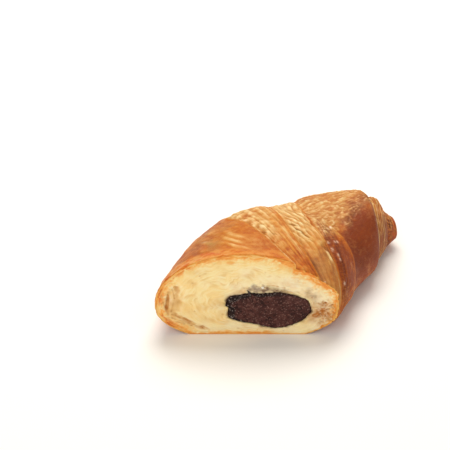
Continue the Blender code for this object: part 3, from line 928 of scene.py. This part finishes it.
crumbSet = {
    "topColumns": 380,
    "baseColumns": 100,
    "faceRows": 104,
    "wallRows": 26,
    "cavityRows": 12,
    "overlap": 0.0002,
    "recess": 0.00008,
    "lining": 0.00025,     # gap round the filling
    "cavityDepths": (0.985, 0.012),
    "wallGap": 0.0004,     # between the crumb and the skin's inner wall
    "wallShare": 0.6,
    "wallBehind": 0.0022,
    "wallBands": (0.05, 5.5),
    "rounds": 18.0,        # mm round the filling and out from it, for noise that follows the swirl
    "outwards": 17.0,
    "swirlMm": 0.13,
    "veinMm": 0.22,
    "cellMm": 0.26,
    "shiftMm": 16.9,       # from the roll's own x to the middle of the cut face
    # ovals on the face: x and z of the middle, half width and height in mm, tilt, waver of the edge, seed,
    # pitch of the waver in mm, softness
    "ovals": {
        "pocket": (-33.4, 18.0, 4.6, 11.2, -8, 0.25, 321, 2.2, 0.6),
        "dimple": (-31.6, 24.8, 2.2, 2.9, 10, 0.3, 322, 2.2, 0.7),
        "streak": (-36.2, 17.0, 1.1, 6.6, -6, 0.5, 323, 1.4, 0.6),
        "slit": (-27.5, 7.4, 7.5, 2.0, -30, 0.5, 324, 2.0, 0.9),
        "lowSlit": (-20.5, 3.8, 5.0, 1.3, -14, 0.5, 325, 2.0, 0.9),
        "honey": (37.2, 11.4, 6.4, 8.4, -18, 0.5, 326, 2.2, 0.6),
        # gap and shade mark painted shade over the filling and to its upper right, glint a painted glint on the
        # film, tanTop painted shade as tan over the upper left of the filling
        "gap": (11.5, 23.9, 14.0, 3.6, -5, 0.3, 327, 2.0, 0.8),
        "shade": (29.6, 20.6, 9.5, 4.4, -42, 0.5, 369, 2.4, 0.9),
        "film": (4.6, 25.6, 5.6, 2.5, -2, 0.7, 328, 1.6, 0.8),
        "glint": (7.6, 25.8, 0.8, 0.9, 40, 0.8, 339, 0.7, 0.5),
        "tanSpot": (30.2, 9.4, 5.6, 3.4, 28, 0.5, 347, 2.2, 0.7),
        "tanWash": (34.0, 12.4, 9.6, 8.4, -25, 0.4, 348, 3.0, 0.8),
        "tanTop": (-3.5, 22.5, 5.5, 3.2, 25, 0.6, 368, 2.2, 0.8),
        "patch": (-7.2, 39.6, 2.2, 1.2, 0, 0.4, 329, 2.2, 0.6),
    },
    # drawn-out strands: strength, from x and z to x and z in mm, width in mm, waver, seed
    "strands": {
        "upperLine": ((1, 7.4, 27.6, 17.8, 25.9, 0.45, 0.35, 351),),
        "lowerLine": ((1, 8.0, 26.1, 11.6, 25.0, 0.5, 0.35, 351), (1, 12.5, 24.4, 18.0, 23.6, 0.3, 0.5, 353)),
        "laid": (
            (1, -35.7, 9.2, -23, 4.6, 0.5, 0.35, 351), (1, -34.5, 10.6, -26, 6.6, 0.35, 0.3, 355),
            (1, -33, 7.0, -19, 2.6, 0.4, 0.3, 357),
        ),
        "skins": (
            (1, -39.4, 24.5, -38.2, 17.5, 0.6, 0.3, 359), (1, -38.2, 17.5, -35.8, 10.6, 0.7, 0.3, 361),
            (0.7, -34.4, 26.4, -32.9, 19.5, 0.35, 0.3, 363), (0.7, -32.9, 19.5, -34.6, 12.0, 0.35, 0.3, 365),
        ),
    },
    # how far the golden bake reaches into the face: degrees round the filling, mm
    "goldDegrees": (-180, -166, -156, -128, -90, -60, -30, 0, 20, 45, 70, 90, 120, 150, 165, 180),
    "goldMm": (4.4, 4.2, 3.2, 2.4, 1.9, 1.2, 1.1, 2.4, 3.4, 4.0, 3.6, 3.0, 2.8, 2.4, 3.0, 3.8),
}


def ovalMask(x, z, cx, cz, wide, tall, tilt, waver, seed, pitch, soft):
    # 1 inside a tilted oval with a wavy, soft edge, 0 outside it
    c, n = math.cos(math.radians(tilt)), math.sin(math.radians(tilt))
    u = ((x - cx) * c + (z - cz) * n) / wide
    v = (-(x - cx) * n + (z - cz) * c) / tall
    return ease((1 - np.sqrt(u * u + v * v) + waver * layeredNoise(x / pitch, z / pitch, 0.0, seed, 2)) / soft)


def strandMask(x, z, x0, z0, x1, z1, wide, waver, seed):
    # 1 on a line between two points that wanders and frays, 0 beyond its width in mm
    u = np.clip(((x - x0) * (x1 - x0) + (z - z0) * (z1 - z0)) / ((x1 - x0) ** 2 + (z1 - z0) ** 2), 0, 1)
    away = np.hypot(x - x0 - u * (x1 - x0), z - z0 - u * (z1 - z0))
    away = away + waver * softNoise(x / 1.6, z / 1.6, 0.0, seed)
    return ease((wide - away) / (0.7 * wide)) * (0.55 + 0.45 * softNoise(x / 1.1, z / 1.1, 0.0, seed + 1))


def crumbFace(x, z, rho, angle, values):
    # depth in mm into the cut face: swirls round the filling, pores, pockets and the gap over the filling
    around, over = values["rounds"] * np.cos(angle), values["rounds"] * np.sin(angle)
    flow = 1.6 * softNoise(x / 9, z / 9, 0.0, 301) + 0.7 * softNoise(x / 3.2, z / 3.2, 0.0, 305)
    ring = rho * values["outwards"] + flow
    swirl = softNoise(around / 7, over / 7, ring / 1.3, 302)
    swirl = swirl + 0.6 * softNoise(around / 3, over / 3, ring / 0.6, 303)
    vein = creased(around / 4.6, over / 4.6, ring / 1.7, 306, 3)
    vein = vein * ease(0.45 + softNoise(x / 5, z / 4, 0.0, 309))
    near, _, value = cellNoise(around / 3.0, over / 3.0, ring / 1.1, 311)
    cells = (value > 0.72) * ease((0.55 - near) / 0.5)
    near, _, value = cellNoise(x / 0.9, z / 0.7, 0.0, 316)
    small = (value > 0.7) * ease((0.45 - near) / 0.4) * 0.7
    openShare = rise(rho, 0.02, 0.08) * fall(rho, 0.93, 0.07)
    depth = values["swirlMm"] * swirl + 0.3 * softNoise(x / 8, z / 8, 0.0, 304)
    depth += values["veinMm"] * vein + values["cellMm"] * openShare * (cells + 0.6 * small)

    # pockets, slits, the honeycomb at the right, the gap with its torn film, and the strands
    o = SimpleNamespace(**{label: ovalMask(x, z, *row) for label, row in values["ovals"].items()})
    t = SimpleNamespace(**{
        label: sum(strength * strandMask(x, z, *row) for strength, *row in rows)
        for label, rows in values["strands"].items()
    })
    slit = np.maximum(o.slit, o.lowSlit)
    wander = softNoise(x / 2, z / 2, 0.0, 332)
    near, second, _ = cellNoise(x / 2.3 + 0.4 * wander, z / 1.8 + 0.3 * wander, 0.0, 331)
    comb = ease((second - near) / 0.45)
    near, second, _ = cellNoise(x / 1.1, z / 0.9, 0.0, 336)
    fine = ease((second - near) / 0.5)
    # the gap over the filling, carried as painted shade in the colour
    gap = o.gap * rise(z, 18.5, 1.5)
    film = o.film * (0.65 + 0.35 * layeredNoise(x / 1.0, z / 1.0, 0.0, 349, 2))
    torn = layeredNoise(x / 1.3, z / 0.8, 0.0, 337, 2)
    fineTorn = ease(layeredNoise(x / 1.6, z / 0.9, 0.0, 338, 2) / 0.5)
    depth += 1.1 * o.pocket + 0.7 * o.dimple + 0.8 * o.streak + 0.9 * slit
    depth += o.honey * (0.2 + 0.9 * comb + 0.3 * fine) + gap * (0.9 - 0.6 * film + 0.25 * torn)
    depth += 0.35 * (t.upperLine + t.lowerLine) + 0.3 * t.laid + 0.3 * t.skins
    depth = depth * openShare + (1 - openShare) * 0.25 * depth

    # colours: tan in hollows and on strands, and as painted shade over the upper left of the filling and at the
    # shade oval; warm from cream to yellow
    patchy = layeredNoise(x / 2.6, z / 3.4, 0.0, 346, 2)
    near, _, value = cellNoise(x / 2.6, z / 2.2, 0.0, 367)
    tan = 0.45 * o.pocket * (1 + 0.5 * wander) + 0.5 * o.dimple
    tan += 1.4 * o.streak * (0.8 + 0.5 * wander) + 0.8 * slit
    tan += o.honey * (0.35 + 0.6 * patchy + 0.4 * comb + 0.15 * fine)
    tan += 0.9 * t.lowerLine + 0.6 * t.upperLine + 0.75 * t.laid + 0.8 * t.skins
    tan += 0.3 * o.tanSpot + o.tanWash * (0.58 + 0.3 * patchy + 0.45 * torn)
    tan += 0.5 * ease((0.30 - near) / 0.2) * (value > 0.88) * openShare
    tan += 0.4 * o.tanTop * (0.6 + 0.6 * vein) + o.shade * (0.3 + 0.25 * fine)
    # warm: whiter towards the bottom as painted light
    warm = 0.55 * layeredNoise(x / 7, z / 5, 0.0, 345, 3) + 0.35 * ease((-8 - x) / 20) - 0.3 * ease((9 - z) / 6)
    warm -= 0.9 * bump(x, 20, 16) * bump(z, 28, 5) + 0.5 * bump(x, -2, 6) * bump(z, 27, 6)
    warm -= 0.5 * rise(x, 24, 10)
    # the gap and the shade oval darkened as painted shade; glint a painted glint
    masks = {
        "tan": tan, "gap": gap * (0.45 + 0.55 * fineTorn) + o.shade * (0.26 + 0.22 * fineTorn), "film": film,
        "warm": warm, "vein": vein, "glint": o.glint, "patch": 0.6 * o.patch,
    }
    return depth, masks, np.stack([around, over, ring], axis=-1)


def makeCrumb(values):
    degrees, share = rollColumns(values["topColumns"], values["baseColumns"])
    cutBand = bandAtCut(degrees, share)
    cutY = -rollSet["middle"][1]
    rim = closedRing(cutBand[None], degrees, share, mainRelief)[0]
    centre = np.array(chocolateSet["centre"])
    spoke = rim[:, [0, 2]] - centre
    angle = np.arctan2(spoke[:, 1], spoke[:, 0])
    reach = np.interp(angle, rimAngle, rimReach, period=2 * math.pi)
    outer = reach - edgeWidth(rim[:, 0], rim[:, 2]) + values["overlap"]
    inner = ovalReach(angle, chocolateSet, 0.0001)

    # face: rho runs from the filling's edge to the crust, rows crowded at both ends
    t = np.linspace(0, 1, values["faceRows"])
    rho = (0.5 - 0.5 * np.cos(math.pi * t)) * 0.35 + t * 0.65
    rho = rho[:, None] + 0 * angle[None]
    distance = inner[None] + (outer - inner)[None] * rho
    x = centre[0] + distance * np.cos(angle)
    z = centre[1] + distance * np.sin(angle)
    xMm, zMm = x * 1000.0 + values["shiftMm"], z * 1000.0
    depth, masks, flow = crumbFace(xMm, zMm, rho, np.broadcast_to(angle, rho.shape), values)
    y = cutY + values["recess"] + np.maximum(depth, -0.3) / 1000.0
    face = np.stack([x, y, z], axis=-1)

    # cavity that the filling lies in, and the outside just within the crust's inner wall
    step = np.linspace(*values["cavityDepths"], values["cavityRows"])[:, None] + 0 * angle[None]
    cavity = fillingWall(np.broadcast_to(angle, step.shape), step, chocolateSet, values["lining"])
    levels = np.linspace(*values["wallBands"], values["wallRows"])
    inset = crustSet["wall"] + values["wallGap"]
    wall = innerWall(levels, cutBand, degrees, share, inset, values["wallShare"], values["wallBehind"])
    rows = np.concatenate([cavity, face, wall])

    # golden bake that fades inwards from the crust, with flecks drawn out of it
    edgeMm = (1 - rho) * (outer - inner)[None] * 1000.0
    wave = layeredNoise(xMm / 4, zMm / 4, 0.0, 341, 2)
    spots = layeredNoise(xMm / 0.9, zMm / 0.9, 0.0, 344, 3)
    faceDegrees = np.degrees(np.arctan2(z - centre[1], x - centre[0]))
    reachMm = through(faceDegrees, values["goldDegrees"], values["goldMm"])
    ragged = np.clip(1.15 + 0.6 * wave + 0.9 * spots, 0.25, 2.2)
    golden = np.exp(-(np.clip(edgeMm / (reachMm * ragged), 0, None) ** 1.6))
    golden = golden * (0.55 + 0.45 * rise(reachMm, 0.8, 1.2))
    drawn = layeredNoise(np.cos(angle) * 11.0, np.sin(angle) * 11.0, edgeMm / 0.8, 351, 3)
    nearCrust = np.exp(-((edgeMm / (0.75 * reachMm)) ** 2)) * rise(reachMm, 1.0, 1.5)
    leftSide = 0.3 + 0.7 * ease((-20 - xMm) / 10)
    fleck = leftSide * rise(drawn + 0.3 * spots, 0.02, 0.22) * nearCrust
    golden = golden * (1 - 0.45 * nearCrust * ease((-0.05 - drawn) / 0.25))

    # chocolate smeared on the dough round the filling
    insideMm = rho * (outer - inner)[None] * 1000.0
    stain = np.exp(-((insideMm / (0.55 + 0.5 * spots + 0.4 * wave)) ** 2)) * (0.45 + 0.4 * ease(wave / 0.4))
    stain += 0.30 * np.exp(-insideMm / 2.2) * rise(wave, -0.3, 0.8)

    masks.update(golden=golden, stain=stain, fleck=fleck, raised=-(depth - evened(depth, 4)))

    def padded(grid):
        # the face's first and last row carried on over the cavity and the wall
        before, after = np.repeat(grid[:1], len(cavity), axis=0), np.repeat(grid[-1:], len(wall), axis=0)
        return np.concatenate([before, grid, after])

    attributes = {label: padded(grid) for label, grid in masks.items()}
    piece = gridPiece("layeredCrumb", rows, attributes, padded(flow))
    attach(piece, "root")
    return piece


crumb = makeCrumb(crumbSet)


def makeChocolate(values):
    angle = np.linspace(-math.pi, math.pi, values["columns"], endpoint=False)[None]
    cutY = -rollSet["middle"][1]
    reach = ovalReach(angle, values)
    t = np.linspace(0.02, 1, values["faceRows"])[:, None]
    share = np.sin(t * math.pi / 2) ** 0.9
    distance = share * reach
    x = values["centre"][0] + distance * np.cos(angle)
    z = values["centre"][1] + distance * np.sin(angle)
    xMm, zMm = x * 1000, z * 1000
    u, v = 0.8 * xMm + 0.6 * zMm, 0.8 * zMm - 0.6 * xMm
    grain = layeredNoise(u / 1.1, v / 1.1, 0.0, 401, 3)
    lumps = softNoise(u / 4, v / 3, 0.0, 405)
    near, second, value = cellNoise(u / 1.3, v / 1.1, 0.0, 407)
    crumbs = ease((second - near) / 0.5) * value

    # dark smooth border, wider at the left and the upper left, partly painted shade along the top and at the upper
    # left, and painted glints on it
    wider = 0.16 * ease((-14 - xMm) / 7) + 0.12 * rise(zMm, 17, 4) * ease((4 - xMm) / 10)
    wider += 0.05 * ease((9 - zMm) / 5) * ease((-xMm) / 6) + 0.05 * rise(zMm, 19, 3)
    wider += 0.07 * layeredNoise(xMm / 2.2, zMm / 2.2, 0.0, 411, 2)
    edge = ease((share - 0.95 + wider) / 0.08) * (0.55 + 0.45 * ease((4 - xMm) / 12))
    near, _, value = cellNoise(u / 0.7, v / 0.7, 0.0, 413)
    dots = ease((0.46 - near) / 0.22)
    low = 0.35 + 0.65 * ease((12 - zMm) / 5) * ease((8 - xMm) / 8) + 0.4 * ease((-20 - xMm) / 4)
    glint = dots * (value > 0.42) * rise(edge, 0.2, 0.4) * fall(share, 0.96, 0.03) * low
    speck = dots * np.clip(1.8 * value - 0.6, 0, 1) * (1 - edge)

    out = values["grainMm"] * (grain + 0.6 * crumbs) + 0.2 * lumps
    out += edge * (0.3 * crumbs + 0.3 * softNoise(xMm / 1.5, zMm / 1.2, 0.0, 409) - 0.2)
    out -= values["roundMm"] * rise(share, 0.93, 0.07) ** 2
    y = np.maximum(cutY - values["proud"] - out / 1000.0, cutY - values["mostProud"])
    face = np.stack([x, y, z], axis=-1)
    step = np.linspace(0.008, 0.98, values["sideRows"])[:, None] + 0 * angle
    side = fillingWall(np.broadcast_to(angle, step.shape), step, values)
    rows = np.concatenate([face, side])
    attributes = {}
    for label, grid in {"edge": edge, "grain": grain, "glint": glint, "speck": speck}.items():
        attributes[label] = np.concatenate([grid, np.repeat(grid[-1:], len(side), axis=0)])
    piece = gridPiece("chocolateCore", rows, attributes)
    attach(piece, "root")
    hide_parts("chocolate_filling")
    return piece


chocolate = makeChocolate(chocolateSet)
print("crust, crumb and filling shaped")

# finishes


def linear(red, green, blue):
    # screen colour from 0 to 255 as the linear light that a shader takes
    light = [((c / 255.0 + 0.055) / 1.055) ** 2.4 if c > 10 else c / 255.0 / 12.92 for c in (red, green, blue)]
    return (*light, 1.0)


def newGroup(name, inputs, outputs):
    group = bpy.data.node_groups.new(name, "ShaderNodeTree")
    for label, kind, value in inputs:
        socket = group.interface.new_socket(label, in_out="INPUT", socket_type=kind)
        socket.default_value = value
    for label, kind in outputs:
        group.interface.new_socket(label, in_out="OUTPUT", socket_type=kind)
    enter = group.nodes.new("NodeGroupInput")
    leave = group.nodes.new("NodeGroupOutput")
    return group, enter.outputs, leave.inputs


class Wiring:
    # short names for adding nodes to one tree and joining them
    def __init__(self, tree):
        self.tree = tree

    def node(self, kind, values=(), **settings):
        made = self.tree.nodes.new(kind)
        for key, value in settings.items():
            setattr(made, key, value)
        self.fill(made, values)
        return made

    def fill(self, node, values):
        # plain values go on the sockets, outputs of other nodes are linked to them
        for key, value in dict(values).items():
            self.join(value, node.inputs[key])

    def join(self, value, socket):
        if isinstance(value, bpy.types.NodeSocket):
            self.tree.links.new(value, socket)
        else:
            socket.default_value = value

    def maths(self, operation, first, second=0.0, third=0.0, clamp=False):
        made = self.node("ShaderNodeMath", {0: first, 1: second, 2: third}, operation=operation, use_clamp=clamp)
        return made.outputs[0]

    def mix(self, share, first, second):
        made = self.node("ShaderNodeMix", data_type="RGBA", clamp_factor=True)
        self.fill(made, {0: share, 6: first, 7: second})
        return made.outputs[2]

    def tint(self, colour, tints):
        # lays one colour after another over the first: attribute, gain, colour
        for name, gain, tone in tints:
            share = self.maths("MULTIPLY", self.attribute(name), gain, clamp=True)
            colour = self.mix(share, colour, linear(*tone))
        return colour

    def ramp(self, value, stops):
        # stops: place, screen colour
        made = self.node("ShaderNodeValToRGB", {0: value})
        while len(made.color_ramp.elements) < len(stops):
            made.color_ramp.elements.new(0.5)
        for element, (place, colour) in zip(made.color_ramp.elements, stops):
            element.position = place
            element.color = linear(*colour)
        return made.outputs[0]

    def attribute(self, name):
        return self.node("ShaderNodeAttribute", attribute_name=name).outputs["Fac"]

    def noise(self, vector, scale, detail=3.0, rough=0.5):
        values = {"Vector": vector, "Scale": scale, "Detail": detail, "Roughness": rough}
        return self.node("ShaderNodeTexNoise", values).outputs[0]

    def group(self, tree, **values):
        return self.node("ShaderNodeGroup", values, node_tree=tree).outputs

    def strand(self, stretch, coarse, fine):
        # drawn-out grain with its share of coarse and fine strands
        strands = self.group(drawnGrain, Stretch=stretch)
        fineStrands = self.maths("MULTIPLY", strands["Fine"], fine)
        return self.maths("ADD", self.maths("MULTIPLY", strands["Coarse"], coarse), fineStrands)

    def raised(self, strand, values):
        # 0 in creases to 1 on crests, from the mesh and the strands
        crest = self.maths("MULTIPLY_ADD", self.attribute("raised"), values["raisedGain"], 0.5)
        return self.maths("MULTIPLY_ADD", strand, values["strandShare"], crest, clamp=True)

    def bumped(self, height, values):
        settings = {"Strength": values["bump"], "Distance": values["bumpDistance"], "Height": height}
        return self.node("ShaderNodeBump", settings).outputs[0]


def grainGroup():
    # fine flecks and small bubbles of a baked skin, from object coordinates in metres
    group, enter, leave = newGroup(
        "bakedGrain",
        [("Scale", "NodeSocketFloat", 1.0), ("Flecks", "NodeSocketFloat", 0.5)],
        [("Height", "NodeSocketFloat"), ("Mottle", "NodeSocketFloat")],
    )
    w = Wiring(group)
    place = w.node("ShaderNodeTexCoord").outputs["Object"]
    fine = w.noise(place, w.maths("MULTIPLY", enter["Scale"], 1400.0), 2.0, 0.6)
    middle = w.noise(place, w.maths("MULTIPLY", enter["Scale"], 420.0), 3.0, 0.55)
    broad = w.noise(place, w.maths("MULTIPLY", enter["Scale"], 95.0), 3.0, 0.55)
    flecks = w.maths("MULTIPLY", w.maths("SUBTRACT", fine, 0.5), enter["Flecks"])
    w.join(w.maths("ADD", w.maths("MULTIPLY", middle, 0.6), flecks), leave["Height"])
    mottle = w.maths("MULTIPLY", w.maths("SUBTRACT", middle, 0.5), 0.9)
    mottle = w.maths("ADD", mottle, w.maths("SUBTRACT", broad, 0.5))
    w.join(w.maths("ADD", mottle, flecks), leave["Mottle"])
    return group


def toastGroup():
    # colour of dough by how long it has baked, cream to dark brown, with paler cut layers that are darker in creases
    # and lighter on crests, painted shade and highlight
    group, enter, leave = newGroup(
        "toastColour",
        [(label, "NodeSocketFloat", 0.0) for label in ("Toast", "Pale", "Raised")],
        [("Color", "NodeSocketColor")],
    )
    w = Wiring(group)
    baked = w.ramp(enter["Toast"], (
        (0.00, (240, 184, 96)),
        (0.22, (219, 150, 62)),
        (0.42, (205, 124, 38)),
        (0.58, (186, 98, 28)),
        (0.76, (147, 64, 24)),
        (1.00, (96, 36, 16)),
    ))
    light = w.ramp(enter["Raised"], ((0.25, (186, 131, 68)), (0.5, (217, 171, 104)), (0.8, (241, 211, 152))))
    w.join(w.mix(enter["Pale"], baked, light), leave["Color"])
    return group


def strandGroup():
    # fine drawn-out grain: noise on the flow attribute, squeezed across the strands
    group, enter, leave = newGroup(
        "drawnGrain",
        [("Stretch", "NodeSocketVector", (1.0, 1.0, 1.0))],
        [("Coarse", "NodeSocketFloat"), ("Fine", "NodeSocketFloat")],
    )
    w = Wiring(group)
    flow = w.node("ShaderNodeAttribute", attribute_name="flow").outputs["Vector"]
    place = w.node("ShaderNodeVectorMath", {0: flow, 1: enter["Stretch"]}, operation="MULTIPLY").outputs[0]
    w.join(w.maths("SUBTRACT", w.noise(place, 1.0, 3.0, 0.6), 0.5), leave["Coarse"])
    w.join(w.maths("SUBTRACT", w.noise(place, 2.7, 2.0, 0.6), 0.5), leave["Fine"])
    return group


bakedGrain, toastColour, drawnGrain = grainGroup(), toastGroup(), strandGroup()


def startMaterial(name):
    made = bpy.data.materials.new(name)
    made.use_nodes = True
    return made, Wiring(made.node_tree), made.node_tree.nodes["Principled BSDF"]


def crustMaterial(values):
    made, w, shader = startMaterial("bakedSkin")
    speck = w.group(bakedGrain, Scale=1.0, Flecks=values["flecks"])
    strand = w.strand(values["stretch"], 0.7, 0.6)
    raised = w.raised(strand, values)
    mottle = w.maths("MULTIPLY", speck["Mottle"], values["mottle"])
    toast = w.maths("ADD", w.attribute("toast"), mottle)
    # painted shade: toast rises in creases and falls on crests
    toast = w.maths("ADD", toast, w.maths("MULTIPLY", w.maths("SUBTRACT", 0.5, raised), values["creviceShade"]))
    pale = w.maths("ADD", w.attribute("pale"), w.maths("MULTIPLY", mottle, -1.5), clamp=True)
    colour = w.group(toastColour, Toast=toast, Pale=pale, Raised=raised)["Color"]
    colour = w.tint(colour, (("olive", 0.8, (158, 118, 62)),))

    # warm glow and red embers of the rim, both mottled, then the painted glints
    glow = w.maths("MULTIPLY", w.maths("ADD", w.attribute("rimGlow"), mottle, clamp=True), 0.8)
    colour = w.mix(glow, colour, linear(236, 142, 50))
    ember = w.maths("MULTIPLY", w.attribute("ember"), 0.62)
    ember = w.maths("MULTIPLY_ADD", mottle, 1.2, ember, clamp=True)
    colour = w.mix(ember, colour, linear(212, 92, 32))
    colour = w.tint(colour, (("glint", 0.8, (248, 216, 188)),))

    gloss = w.attribute("gloss")
    rough = w.maths("MULTIPLY_ADD", gloss, -values["glossDrop"], values["roughness"])
    glaze = w.maths("MULTIPLY", w.maths("SUBTRACT", gloss, 0.35, clamp=True), values["coat"], clamp=True)
    fine = w.maths("MULTIPLY", strand, values["strandBump"])
    fine = w.maths("ADD", w.maths("MULTIPLY", speck["Height"], 0.6), fine)
    w.fill(shader, {
        "Base Color": colour,
        "Roughness": w.maths("ADD", rough, w.maths("MULTIPLY", speck["Mottle"], 0.15), clamp=True),
        "Coat Weight": glaze,
        "Coat Roughness": values["coatRoughness"],
        "Subsurface Weight": values["subsurface"],
        "Subsurface Radius": (1.0, 0.5, 0.2),
        "Subsurface Scale": 0.0015,
        "Specular IOR Level": values["specular"],
        "Normal": w.bumped(fine, values),
    })
    return made


crustLook = {
    "stretch": (0.9, 0.22, 1.0), "strandShare": 0.5, "strandBump": 1.2,
    "flecks": 0.5, "raisedGain": 0.9, "mottle": 0.30, "creviceShade": 0.26, "roughness": 0.56, "glossDrop": 0.16,
    "coat": 0.30, "coatRoughness": 0.20, "subsurface": 0.10, "specular": 0.15,
    "bump": 0.6, "bumpDistance": 0.0005,
}
crust.data.materials.append(crustMaterial(crustLook))


def crumbMaterial(values):
    made, w, shader = startMaterial("openCrumb")
    speck = w.group(bakedGrain, Scale=1.3, Flecks=0.6)
    raised = w.raised(w.strand(values["stretch"], 0.8, 0.5), values)
    cream = w.ramp(raised, values["cream"])
    warm = w.maths("MULTIPLY_ADD", w.attribute("warm"), 0.6, 0.1)
    warm = w.maths("MULTIPLY_ADD", speck["Mottle"], 0.5, warm, clamp=True)
    cream = w.tint(w.mix(warm, cream, linear(250, 202, 116)), values["creamTints"])
    gold = w.ramp(w.attribute("golden"), values["gold"])
    colour = w.mix(w.maths("MULTIPLY", w.attribute("golden"), 1.4, clamp=True), cream, gold)
    w.fill(shader, {
        "Base Color": w.tint(colour, values["tints"]),
        "Roughness": w.maths("MULTIPLY_ADD", w.attribute("film"), -0.5, values["roughness"], clamp=True),
        "Subsurface Weight": values["subsurface"],
        "Subsurface Radius": (1.0, 0.7, 0.35),
        "Subsurface Scale": 0.002,
        "Specular IOR Level": values["specular"],
        "Normal": w.bumped(speck["Height"], values),
    })
    return made


crumbLook = {
    "stretch": (0.35, 0.35, 1.5), "strandShare": 0.85, "raisedGain": 1.2, "roughness": 0.72, "subsurface": 0.25,
    "specular": 0.3, "bump": 0.55, "bumpDistance": 0.0003,
    # creases to crests, darker to lighter as painted shade and highlight, and crumb to crust
    "cream": ((0.15, (236, 200, 132)), (0.5, (252, 226, 164)), (0.8, (255, 240, 196))),
    "gold": ((0.0, (248, 216, 150)), (0.35, (249, 200, 118)), (0.7, (246, 172, 84)), (1.0, (240, 146, 58))),
    # attribute, gain, colour: warm below zero is the whiter crumb
    "creamTints": (("warm", -0.8, (250, 236, 204)), ("vein", 0.5, (228, 184, 112))),
    # gap lays painted shade, glint a painted glint
    "tints": (
        ("fleck", 0.8, (206, 88, 30)), ("patch", 1.0, (238, 160, 66)), ("tan", 0.75, (192, 124, 58)),
        ("gap", 0.9, (112, 78, 58)), ("film", 0.95, (138, 112, 98)), ("stain", 0.85, (78, 42, 26)),
        ("glint", 1.0, (250, 244, 232)),
    ),
}
crumb.data.materials.append(crumbMaterial(crumbLook))


def chocolateMaterial(values):
    made, w, shader = startMaterial("darkChocolate")
    speck = w.group(bakedGrain, Scale=1.6, Flecks=1.0)
    tone = w.maths("MULTIPLY_ADD", speck["Mottle"], 0.7, 0.40)
    tone = w.maths("MULTIPLY_ADD", w.attribute("grain"), 0.22, tone, clamp=True)
    w.fill(shader, {
        "Base Color": w.tint(w.ramp(tone, values["body"]), values["tints"]),
        "Roughness": w.maths("MULTIPLY_ADD", w.attribute("edge"), -0.2, values["roughness"]),
        "Coat Weight": w.maths("MULTIPLY", w.attribute("glint"), 0.8),
        "Coat Roughness": 0.14,
        "Specular IOR Level": values["specular"],
        "Normal": w.bumped(speck["Height"], values),
    })
    return made


chocolateLook = {
    "roughness": 0.55, "specular": 0.16, "bump": 1.0, "bumpDistance": 0.0003,
    "body": ((0.10, (38, 14, 12)), (0.50, (80, 43, 37)), (0.95, (120, 80, 70))),
    # edge darkens the smooth border and is partly painted shade; glint lays painted glints
    "tints": (("speck", 0.7, (156, 118, 106)), ("edge", 0.9, (26, 11, 8)), ("glint", 0.8, (190, 174, 164))),
}
chocolate.data.materials.append(chocolateMaterial(chocolateLook))
print("finishes made")
